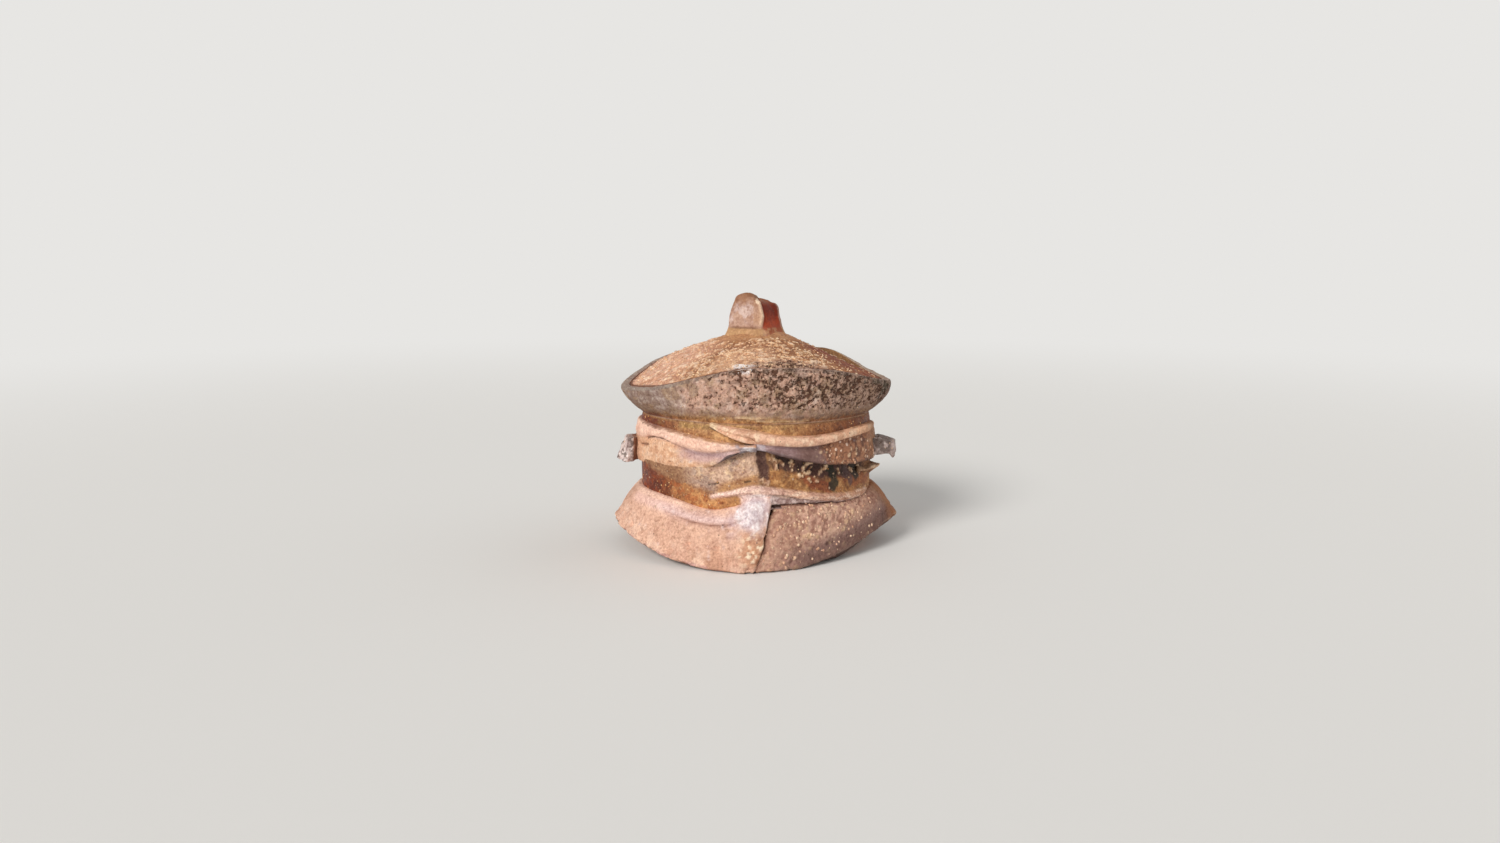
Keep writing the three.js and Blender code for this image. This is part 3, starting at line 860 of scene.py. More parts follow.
    paint((110, 74, 70), 0.5 * shade * outside * wall.blotches(4, 40, 0.2, 0.5))
    paint((46, 44, 32), 0.92 * outside * on_path([(315.5, 66), (316, 57), (315, 52)], 5, 0.3))
    paint((54, 46, 36), 0.92 * outside * on_path([(332, 66), (334, 57)], 5.6, 0.3))
    paint((96, 72, 70), 0.8 * outside * on_path([(327, 60), (327.4, 52)], 3.4, 0.3))
    # The recessed front corner is painted dark, as painted shade in the recess.
    paint((96, 66, 56), outside * on_path(corner_path, 4.4, 0.12))
    paint((190, 142, 106), outside * patches)
    paint((244, 208, 172), 0.9 * outside * patches * smooth(-0.1, 0.3, broken))
    paint((120, 78, 58), 0.6 * outside * patches * smooth(0.2, 0.5, -broken))
    # The cracks are painted near-black, as painted shade in them.
    paint(BURNT_AND_SHADE, 0.9 * outside * cracks)

    roll_share = np.where(z > middle, above, 1 - (1 - below) * (1 - held))
    on_roll = outside * smooth(0.22, 0.6, roll_share) * smooth(0.8, 2.2, reach)
    tone = along(deg, (250, 0), (290, 0.1), (312, 0.7), (340, 1))
    paint(turning((242, 204, 190), (176, 120, 84), tone), on_roll)
    paint((240, 184, 148), 0.8 * on_roll * (1 - tone) * smooth(276, 292, deg))
    paint((238, 202, 190), 0.9 * outside * wall.near([(246, 47), (252, 48.8), (259, 50.6)], 1.7))
    streaks = rough(wall.points * np.array((0.25, 0.25, 1)), 1.6, 42, 2)
    paint((206, 158, 138), 0.6 * on_roll * smooth(0.1, 0.5, streaks))
    paint((250, 218, 196), 0.6 * on_roll * smooth(0.1, 0.5, -streaks))
    beneath = on_roll * held * smooth(1.6, 2.8, middle - z)
    paint((166, 136, 130), beneath * smooth(276, 280, deg))
    paint((236, 212, 206), 0.8 * beneath * smooth(0.25, 0.5, ragged) * smooth(276, 280, deg))
    paint((236, 216, 212), 0.95 * beneath * smooth(282, 274, deg + 3 * ragged))
    # A painted shadow line along the underside of the roll.
    paint((96, 72, 62), 0.75 * outside * wall.near(under_line, 0.7) * span(deg, 274, 279, 286, 296))
    # The split under the roll is pushed in and painted near-black, as painted shade in it.
    split = [(274, 42.2), (278, 42.2), (285, 42.3), (293, 42), (303, 41), (312, 40.2)]
    push(-2.6 * outside * wall.near(split, 1.2))
    paint((70, 44, 36), outside * smooth(0.3, 0.7, wall.near(split, 1.3)))

    neck = smooth(82, 85, z) * outside
    paint(neck_colour(deg), neck)
    paint(
        (158, 124, 72),
        0.7 * neck * smooth(91, 94, z) * span(deg, 192, 214, 282, 300) * wall.blotches(16, 35, -0.4, 0.2),
    )
    paint((222, 176, 124), 0.5 * neck * wall.blotches(3.4, 45, 0.1, 0.5, 3) * span(deg, 212, 240, 290, 306))
    paint((70, 42, 30), 0.3 * neck * wall.blotches(4, 43, 0.2, 0.6) * smooth(288, 300, deg))
    paint(INSIDE_CLAY, inside)
    paint(AMBER, 0.7 * inside * wall.blotches(34, 5, -0.1, 0.6))
    paint(DARK_BROWN, 0.5 * inside * smooth(40, 12, z) * wall.blotches(28, 9))
    melt = (1 - 0.8 * on_roll) * (0.35 + 0.3 * np.maximum(red, neck)) * (1 - 0.6 * khaki * waist)
    wall.masks["melt"] = outside * melt + 0.55 * inside
    wall.masks["fleck"] = 0.14 * outside * (1 - on_roll) + 0.05 * inside
    wall.masks["scatter"] = (
        outside * (1 - on_roll) * (0.3 + 0.7 * red + 0.5 * neck) * span(deg, 180, 190, 345, 355)
    )
    return wall.mesh("jar_wall_clay", {6: 1, 0: 1, 1: 1}, [GLAZE_MATERIAL, INSIDE_MATERIAL])


# Skirt: four slabs


def shoulder(angle):
    return wall_outside(angle) + 7 + 3 * to_tips(angle, 4)


def shoulder_height(angle):
    return skirt_top(angle) - 7.5


def toe(angle):
    return np.maximum(lip_height(angle) - 5, 0.6)


def front_seam_lean(height):
    """How far round the open front seam has wandered at each height, in degrees."""
    return np.interp(
        height, (0, 5, 12, 20, 28, 34, 38, 41, 46), (-5.4, -4.2, -2.6, -1.2, 0.2, 1.3, 2.3, 3.6, 6.2)
    )


def from_seam(degrees, height):
    return degrees - np.degrees(FRONT_SEAM) - front_seam_lean(height)


def make_skirt_slab(name, start, end):
    front_left, front_right = name == "skirt_front_left", name == "skirt_front_right"
    slab = Clay(
        [
            (offset(wall_outside, -0.6), toe, 0, 3),
            (offset(wall_outside, 3), toe, 1, 1.6),
            (offset(lip, -2), lambda a: np.maximum(lip_height(a), 0.6), 0.9, 0.6),
            (lip, lambda a: lip_height(a) + 2, 1.1, 0.62),
            (
                between(shoulder, lip, 0.55),
                lambda a: shoulder_height(a) * 0.47 + lip_height(a) * 0.55,
                12,
                0.62,
            ),
            (shoulder, shoulder_height, 6, 0.6),
            (offset(wall_outside, 4), lambda a: skirt_top(a) - 1.5, 1.8, 0.5),
            (offset(wall_outside, 2.5), skirt_top, 1.2, 0.5),
            (offset(wall_outside, -0.6), skirt_top, 0, 7),
        ],
        angles_between(start, end, 0.6),
        closed_round=False,
    )
    paint, push = slab.paint, slab.push
    shown = slab.fresh(2, 3, 4, 5, 6, 7)
    if front_left or front_right:
        near_seam = span(slab.degrees, 256, 272, 277, 296)
        level_points = slab.points * np.array((0.2, 0.2, 1))
        wander = 0.45 * lumps(level_points, 7, 41) + 0.25 * lumps(level_points, 3, 42)
        turned = slab.angle + rad(1) * (front_seam_lean(slab.height) + wander) * near_seam
        far = np.hypot(slab.x, slab.y)
        slab.points = np.stack([far * np.cos(turned), far * np.sin(turned), slab.height], -1)
        slab.refresh()
    deg, z = slab.degrees, slab.height
    weather(slab, where=0.3 + 0.7 * shown, deep=0.7, middle=0.34, fine=0.17)
    above_lip = z - lip_height(slab.angle) - 2
    edge = slab.fresh(2, 3) + 0.5 * slab.fresh(4) * smooth(6, 0, above_lip)
    chips = np.maximum(0, slab.rough(7, 51, 3) - 0.4) * 2.4
    push(-chips * edge)
    fin = smooth(0.93, 0.995, np.abs(np.cos(slab.angle)))
    push(-1.4 * fin * edge * smooth(-0.2, 0.6, slab.lumps(6, 52)))
    ragged = slab.rough(3.4, 53, 3)
    paint((224, 178, 154), 1)
    paint((204, 152, 124), 0.7 * slab.blotches(30, 61, -0.2, 0.7) * smooth(28, 6, z))
    paint((236, 200, 178), 0.5 * slab.blotches(12, 68, 0.0, 0.7))
    paint((176, 128, 104), 0.45 * smooth(0.3, 0.7, ragged) * shown)
    slab.masks["fleck"] = 0.05
    if front_left:
        slab.lift(-2.6 * shown * bump(slab.angle, 247, 14) * smooth(32, 40, z))
        z = slab.height
        shelf = [(196, 40), (211, 38.4), (224, 36), (234, 33.8), (243, 32.6), (255, 32.8), (263, 35.5)]
        crease = [
            (212, 35.6), (222, 33.8), (233, 31), (239, 29.6), (248, 28.9), (256, 29.6), (262, 32), (266, 35.4)
        ]
        push(0.7 * shown * slab.near(shelf, 2.6))
        push(-1.3 * shown * slab.near(crease, 1.0) * smooth(212, 232, deg))
        push(-2.0 * slab.spot(201, 13.5, 1.5, 2.6))
        lift = smooth(262, 271, deg) * smooth(30, 42, z)
        slab.lift(6.0 * lift * shown)
        push(1.3 * shown * smooth(261, 269, deg) * smooth(33, 43, slab.height))
        push(1.2 * shown * slab.near([(266, 40), (269, 30), (270, 18), (269, 6)], 7))
        push(0.55 * shown * smooth(254, 264, deg) * slab.rough(4.4, 62, 2))
        upper_crack = slab.near([(262, 24.5), (266, 26), (270, 24.6)], 0.7)
        push(-0.9 * shown * np.maximum(upper_crack, slab.near([(263, 19), (268, 20.4)], 0.6)))
        nib = slab.spot(272, 1.5, 1.6, 2.2) * edge
        push(1.2 * nib)
        slab.lift(-1.6 * nib)
        z = slab.height
        paint((238, 196, 182), 0.8 * smooth(33, 38, z) * span(deg, 190, 200, 222, 236))
        paint((232, 198, 192), 0.85 * slab.near(shelf, 3.4) * smooth(205, 226, deg))
        paint((150, 92, 70), 0.9 * slab.spot(201, 13.5, 1.6, 2.4))
        # The crease is painted darker, as a painted shadow line in it.
        paint((140, 94, 76), 0.85 * slab.near(crease, 0.8) * smooth(222, 240, deg))
        paint((240, 198, 176), 0.8 * smooth(3.4, 1.4, skirt_top(slab.angle) - z) * smooth(268, 262, deg))
        paint((200, 170, 176), 0.75 * slab.spot(258, 30, 4, 7) * slab.blotches(9, 63, -0.5, 0.3))
        frost = slab.spot(270, 44, 9, 8) + slab.spot(267, 33, 7.5, 7.5)
        grains = slab.rough(5, 69, 4)
        paint((222, 190, 184), 0.8 * smooth(0.1, 0.7, frost + 0.25 * grains))
        paint((244, 230, 230), 0.95 * smooth(0.35, 1.0, frost + 0.45 * grains))
        paint((194, 178, 190), 0.45 * smooth(0.3, 0.8, frost) * smooth(0.1, 0.5, -grains))
        rust = smooth(259, 268, deg + 2 * slab.lumps(6, 64)) * smooth(1, 8, z) * smooth(30, 19, z)
        paint((196, 140, 104), 0.7 * rust)
        paint((142, 92, 66), 0.8 * rust * smooth(0.1, 0.5, -ragged) * smooth(264, 269, deg))
        paint((246, 220, 190), 0.95 * rust * slab.blotches(2.8, 64, 0.15, 0.4, 2))
        paint((190, 140, 150), 0.5 * smooth(3.0, 0, np.abs(above_lip + 1)) * slab.blotches(7, 65, 0.0, 0.5))
        paint((160, 116, 96), 0.35 * smooth(198, 182, deg) * smooth(20, 34, z))
    if front_right:
        corner = np.hypot((deg - 277.5) * 1.3, (z - 44.5))
        push(-1.6 * shown * smooth(6.5, 1.0, corner))
        slab.lift(-shown * smooth(36, 42, z) * 0.9 * smooth(284, 276.5, deg))
        push(-1.3 * shown * smooth(7, 1, from_seam(deg, z)) * smooth(3, 20, z))
        push(0.34 * shown * slab.rough(2.4, 70, 2))
        z = slab.height
        paint((208, 162, 142), 1)
        paint(
            (232, 190, 162),
            0.8 * smooth(0.0, 0.4, slab.rough(3.0, 66, 3, 0.8)) * (1 - 0.6 * smooth(310, 345, deg)),
        )
        paint((152, 104, 88), 0.72 * slab.blotches(2.4, 71, 0.05, 0.4, 3))
        paint((142, 94, 70), 0.8 * smooth(312, 350, deg + 0.5 * (24 - z)))
        paint((176, 140, 132), 0.75 * slab.near([(283, 5), (296, 8), (308, 13), (326, 20), (345, 28)], 6.5))
        paint(
            (208, 178, 164), 0.75 * smooth(2.4, 0.4, np.abs(above_lip + 1.2)) * span(deg, 274, 280, 325, 350)
        )
        paint((150, 120, 84), 0.6 * smooth(340, 356, deg) * slab.blotches(7, 72, -0.3, 0.3))
        dots = (
            smooth(0.1, 0.45, pits(slab.points, 6.5, 73) - 0.35 + 0.3 * ragged) * shown
            * smooth(350, 330, deg)
        )
        push(0.3 * dots)
        paint((232, 192, 154), 0.7 * dots)
        # The top edge along the split under the roll is painted dark, as painted shade in the split.
        paint((92, 58, 48), smooth(2.2, 0.8, skirt_top(slab.angle) - z) * smooth(312, 300, deg))
        paint((170, 124, 104), 0.4 * smooth(298, 286, deg))
        # The lower part of the slab is painted darker, as painted shade.
        paint((114, 84, 76), 0.8 * smooth(20, 4, above_lip) * smooth(278, 296, deg))
        paint((170, 108, 62), 0.7 * smooth(346, 356, deg))
        # Beside the open front seam the slab is painted dark brown, as painted shade from the seam.
        paint((98, 62, 46), 0.8 * smooth(2.6, 0.4, from_seam(deg, z)) * smooth(6, 16, z))
        slab.masks["fleck"] = 0.2 * shown * smooth(353, 335, deg)
        slab.masks["melt"] = 0.1 * shown * smooth(300, 345, deg)
    if name == "skirt_back_right":
        paint((160, 114, 92), 0.85 * smooth(60, 8, deg))
        paint(ROSE_BROWN, 0.6 * slab.blotches(24, 67, -0.2, 0.5))
        slab.masks["fleck"] = 0.2 * shown * smooth(80, 20, deg)
    if name == "skirt_back_left":
        paint(ROSE_BROWN, 0.6 * smooth(130, 92, deg))
    paint((232, 204, 180), 0.35 * smooth(1.6, 0.2, np.abs(above_lip)) * fin)
    # The faces against the wall and under the skirt are painted near-black, as painted shade.
    paint(BURNT_AND_SHADE, 0.7 * slab.fresh(8, 0, 1))
    share = 1 if front_right else 0.02
    slab.masks["scatter"] = (
        shown * share * smooth(350, 335, np.where(deg < 100, 0, deg)) * smooth(0, 4, above_lip)
    )
    slab.soften_ends(2.0 if front_left or front_right else 0.9)
    return slab.mesh(name + "_clay", {}, [CLAY_MATERIAL])


# Waist: two strips


def strip_stations(lower, upper, fullness, back, foot=None):
    """A strip's section: its foot, its face and the full ridge along its top."""
    foot = foot or level(1)

    def thickness(angle):
        return (strip_face(angle) - wall_outside(angle)) * fullness(angle)

    def out(share, seat=level(1)):
        return lambda a: wall_outside(a) + SEAM + thickness(a) * share * seat(a)

    def ridge(share):
        return lambda a: upper(a) - np.minimum(9 * share, (upper(a) - lower(a)) * share * 0.6)

    def slim(angle):
        ends = bump(angle, 352, 17) + bump(angle, 186, 14)
        return 1 - 0.5 * np.minimum(ends, 1)

    def pinched(angle):
        return 1 - 0.6 * bump(angle, 269.5, 5)

    inside = offset(wall_outside, back)
    return [
        (inside, lower, 0, 2),
        (out(0.85, lambda a: foot(a) * pinched(a)), lower, 1.4, 0.58),
        (
            out(0.95, lambda a: (0.4 + 0.6 * foot(a)) * pinched(a)),
            lambda a: lower(a) + 0.16 * (upper(a) - lower(a)),
            3,
            0.58,
        ),
        (out(0.72, pinched), ridge(1), 3, 0.58),
        (out(1.05, slim), ridge(0.6), 2.6, 0.5),
        (out(0.85, slim), ridge(0.14), 1.4, 0.5),
        (inside, upper, 0, 6),
    ]


def make_left_strip():
    seam_turn = SEAM / WALL_FRONT / 2

    def foot(angle):
        degrees = np.degrees(angle)
        return 1 - 0.68 * span(degrees, 180, 200, 243, 256)

    strip = Clay(
        strip_stations(left_strip_lower, left_strip_upper, level(1), -0.8, foot),
        angles_between(rad(90) + seam_turn, TONGUE_END + 0.9 * seam_turn, 0.6),
        closed_round=False,
    )
    paint, push = strip.paint, strip.push
    shown = strip.fresh(1, 2, 3, 4, 5)
    deg, z = strip.degrees, strip.height
    lower, upper = left_strip_lower(strip.angle), left_strip_upper(strip.angle)
    weather(strip, where=0.2 + 0.8 * shown, deep=0.5, middle=0.35, fine=0.15)
    ragged = strip.rough(3.2, 74, 3)
    splits = [
        ([(203, 81.6), (206, 82.6), (212, 84.3), (219, 84.2), (223, 82.6)], 0.75, 1.7),
        ([(223, 82.6), (228, 80.2), (233, 78.4)], 0.7, 0.8),
        ([(192, 76.4), (197, 75.6), (205, 77.2)], 0.7, 1.6),
        ([(197, 75.2), (202, 75.2)], 0.5, 0.9),
        ([(221.4, 68.6), (224, 68.4)], 0.5, 0.9),
    ]
    for path, width, depth in splits:
        push(-depth * shown * strip.near(path, width))
    ridge_low = along(
        deg, (190, 81), (205, 82.6), (219, 83.6), (231, 79.6), (242, 78), (253, 78.4), (264, 80.8)
    )
    hollow = span(deg, 224, 236, 256, 266)
    push(-1.5 * shown * hollow * hill(z - ridge_low + 3.4, 3.0))
    push(-0.7 * shown * (1 - hollow) * hill(z - ridge_low + 1.2, 1.2) * smooth(196, 206, deg))
    push(0.8 * shown * hill(z - ridge_low - 3.2, 2.6) * smooth(264, 252, deg))
    folds = np.maximum(0, rough(strip.points * np.array((1, 1, 0.45)), 4.6, 72, 2))
    push(1.1 * shown * folds * smooth(228, 240, deg) * smooth(1.5, 4, ridge_low - z) * smooth(264, 256, deg))

    paint((226, 178, 144), 1)
    paint((238, 200, 170), 0.7 * smooth(0.15, 0.55, ragged) * smooth(0, 3, ridge_low - z))
    paint((206, 150, 116), 0.7 * smooth(0.15, 0.6, -ragged) * smooth(0, 3, ridge_low - z))
    paint((214, 160, 128), 0.6 * smooth(206, 190, deg))
    on_ridge = smooth(-1.4, 0.8, z - ridge_low)
    paint((242, 198, 176), on_ridge)
    paint((226, 170, 146), 0.5 * on_ridge * strip.blotches(8, 75, 0.0, 0.6))
    paint((250, 214, 192), 0.6 * on_ridge * smooth(3.2, 1.2, upper - z))
    # The hollow under the ridge is painted mauve as painted shade, paler on the folds and darker just under
    # the ridge.
    mauve = hollow * smooth(1.5, -1, z - ridge_low) * smooth(-10.5, -5, z - ridge_low)
    paint((196, 160, 156), 0.9 * mauve)
    paint((232, 198, 192), 0.8 * mauve * smooth(0.15, 0.45, folds))
    paint((166, 136, 140), 0.6 * hollow * hill(z - ridge_low + 2.0, 1.3))
    paint((226, 196, 190), 0.6 * smooth(252, 262, deg) * smooth(-0.5, 2.5, z - lower))
    paint((186, 172, 178), 0.85 * smooth(0.2, 0.7, strip.spot(267, 81.5, 6, 5) + 0.3 * ragged))
    # A white spot at the pinch is a painted highlight.
    paint((246, 240, 242), 0.95 * smooth(0.3, 0.65, strip.spot(266.4, 82, 3.2, 3.4) + 0.25 * ragged))
    # A thin dark line at the pinch is painted shade of a notch there.
    paint((88, 76, 80), 0.7 * smooth(0.5, 0.9, strip.near([(260, 86.4), (266, 85.6), (270, 85)], 0.8)))
    hem = smooth(5.5, 1.0, z - lower) * smooth(254, 246, deg)
    paint((184, 140, 106), 0.55 * hem * smooth(196, 206, deg))
    paint((236, 204, 176), 0.8 * hem * strip.blotches(5, 76, 0.0, 0.4, 2) * smooth(206, 220, deg))
    # The lowest edge near the pinch is painted near-black, as painted shade along it.
    paint((70, 58, 60), 0.85 * smooth(1.1, 0.2, z - lower) * span(deg, 249, 255, 264, 267))
    # The splits are painted darker, as painted shade in them.
    for path, width, depth in splits:
        paint((112, 72, 56), min(1.0, 0.55 * depth) * strip.near(path, 0.8 * width))
    paint(neck_colour(deg), 0.75 * smooth(1.6, 0.3, upper - z + 0.6 * ragged))
    paint(ROSE_BROWN, 0.6 * smooth(180, 130, deg))
    # The back face against the wall is painted near-black, as painted shade.
    paint(BURNT_AND_SHADE, 0.6 * strip.fresh(6, 0))
    strip.masks["melt"] = 0.25 * shown * smooth(8, 0, z - lower)
    strip.masks["fleck"] = 0.1 * shown * (1 - on_ridge)
    return strip.mesh("waist_strip_left_clay", {}, [CLAY_MATERIAL])


def along_tongue(angle):
    return np.clip((angle - TONGUE_TIP) / (TONGUE_END - TONGUE_TIP), 0, 1)


def right_strip_bottom(angle):
    depth = right_strip_upper(angle) - left_strip_upper(angle) + 0.6
    over_left = right_strip_upper(angle) - depth * (0.2 + 0.8 * along_tongue(angle))
    return np.where(angle > TONGUE_END, right_strip_lower(angle), over_left)


def make_right_strip():
    seam_turn = SEAM / WALL_FRONT / 2
    angles = np.concatenate(
        [
            angles_between(TONGUE_TIP, TONGUE_END - seam_turn, 0.6),
            angles_between(TONGUE_END + seam_turn, rad(450) - seam_turn, 0.6),
        ]
    )
    strip = Clay(
        strip_stations(
            right_strip_bottom,
            right_strip_upper,
            lambda a: 0.22 + 0.78 * np.minimum(1, 1.6 * along_tongue(a)),
            -4.8,
        ),
        angles,
        closed_round=False,
    )
    paint, push = strip.paint, strip.push
    shown = strip.fresh(1, 2, 3, 4, 5)
    turned = np.broadcast_to(angles, strip.height.shape)
    deg = np.degrees(turned)
    lower, upper = right_strip_bottom(turned), right_strip_upper(turned)
    weather(strip, where=0.2 + 0.8 * shown, deep=0.5, middle=0.35, fine=0.13)
    strip.lift(1.6 * shown * bump(turned, 245, 5))
    z = strip.height
    ragged = strip.rough(3.2, 86, 3)
    ridge_low = along(
        deg, (245, 80), (268, 84.6), (277, 84), (290, 82.2), (300, 82), (311, 83.5), (319, 84.8), (332, 85.8),
        (350, 86), (380, 82),
    )
    face = shown * smooth(0.5, -1.5, z - ridge_low)
    on_ridge = shown * smooth(-0.6, 0.7, z - ridge_low) * smooth(372, 345, deg)
    push(0.9 * on_ridge * hill(z - ridge_low - 3, 2.4) * smooth(262, 272, deg))
    push(-1.5 * face * hill(z - ridge_low + 2.2, 2.2) * span(deg, 270, 276, 336, 350))
    push(0.8 * face * smooth(3.4, 1.0, z - lower) * smooth(270, 278, deg))
    grit = span(deg, 298, 308, 350, 380)
    push(0.6 * face * grit * np.maximum(0, strip.rough(4, 82, 2)))

    paint((160, 122, 108), 1)
    paint((180, 124, 92), 0.9 * grit)
    paint((110, 70, 54), 0.85 * face * grit * smooth(0.0, 0.45, ragged))
    smooth_part = smooth(266, 270, deg) * smooth(310, 300, deg + 4 * strip.lumps(9, 87))
    paint((158, 128, 128), face * smooth_part)
    paint((186, 158, 160), 0.8 * face * smooth(283, 268, deg) * smooth(266, 269, deg))
    paint((120, 88, 78), 0.8 * face * smooth_part * smooth(284, 296, deg))
    crumbs = smooth(0.5, 0.8, pits(strip.points, 5.2, 84)) * grit * face * smooth(1, 3, z - lower)
    push(0.5 * crumbs)
    paint((240, 204, 168), 0.9 * crumbs * smooth(350, 330, deg))
    # The lower edge is painted near-black, as painted shade under the strip.
    paint((62, 42, 38), 0.7 * smooth(2.2, 0.3, z - lower) * span(deg, 268, 272, 345, 365))
    # A painted shadow line under the ridge.
    paint((84, 54, 42), 0.7 * face * hill(z - ridge_low + 1.0, 0.9) * span(deg, 300, 306, 330, 340))
    paint((234, 186, 158), on_ridge * smooth(-1, 0.4, z - ridge_low))
    paint((238, 184, 146), 0.75 * on_ridge * smooth(296, 330, deg))
    paint((206, 156, 124), 0.6 * on_ridge * strip.blotches(6, 89, 0.0, 0.5))
    paint((250, 218, 188), 0.6 * on_ridge * smooth(0.2, 0.6, -ragged))
    paint((236, 214, 176), 0.7 * bump(turned, 247, 3) * shown)
    frost = smooth(0.2, 0.7, strip.spot(271, 81, 4.5, 4.5) + 0.3 * ragged)
    paint((196, 182, 188), 0.9 * frost * smooth(1, -1, z - ridge_low))
    paint((172, 126, 94), 0.8 * shown * smooth(334, 350, deg))
    paint(
        neck_colour(np.mod(deg, 360)),
        0.75 * smooth(1.6, 0.3, upper - z + 0.6 * ragged) * smooth(262, 280, deg),
    )
    paint(ROSE_BROWN, 0.7 * smooth(370, 400, deg))
    # The back face against the wall is painted near-black, as painted shade.
    paint(BURNT_AND_SHADE, 0.6 * strip.fresh(6, 0))
    strip.masks["melt"] = shown * (0.4 * smooth(6, 1, z - lower) + 0.3 * face * grit) * (1 - on_ridge)
    strip.masks["fleck"] = 0.3 * face * grit * (1 - on_ridge)
    strip.masks["scatter"] = face * grit * smooth(365, 345, deg)
    strip.soften_ends(1.0)
    return strip.mesh("waist_strip_right_clay", {}, [CLAY_MATERIAL])


def make_torn_flap():
    """The torn lip of clay that curls out from under the right strip."""

    def reach(angle):
        return wall_outside(angle) + 0.5 + 7.6 * bump(angle, 352, 4.2) + 2.0 * bump(angle, 345, 3)

    def height(angle):
        return 58.2 - 1.6 * bump(angle, 343, 4) - 0.4 * bump(angle, 353, 4)

    def foot(angle):
        return height(angle) - 1.5 - 7.0 * bump(angle, 351, 5)

    def hollow(angle):
        return wall_outside(angle) + 0.4 + 0.2 * (reach(angle) - wall_outside(angle))

    flap = Clay(
        [
            (offset(wall_outside, -2), foot, 0, 1),
            (hollow, between(height, foot, 0.5), 3, 0.5),
            (reach, height, 0.5, 0.4),
            (reach, offset(height, 1.0), 0.5, 0.4),
            (offset(wall_outside, -2), offset(height, 2.4), 0, 1),
        ],
        angles_between(rad(336), rad(359), 0.5),
        closed_round=False,
    )
    flap.push(0.35 * flap.rough(4, 77, 3))
    out = np.hypot(flap.x, flap.y) - wall_outside(flap.angle)
    flap.paint((176, 136, 106), 1)
    flap.paint((226, 192, 160), smooth(2, 5, out + 2 * flap.lumps(4, 78)))
    under = smooth(-0.6, -2.4, flap.height - height(flap.angle))
    flap.paint((142, 98, 66), 0.85 * under)
    flap.paint((206, 152, 120), 0.7 * under * flap.blotches(4, 79, 0.0, 0.4, 2))
    flap.masks["melt"] = 0.1 + 0.3 * under
    return flap.mesh("torn_flap_clay", {}, [GLAZE_MATERIAL])


# Collar


def ledge_height(angle):
    return rim_height(angle) - LEDGE_DEPTH


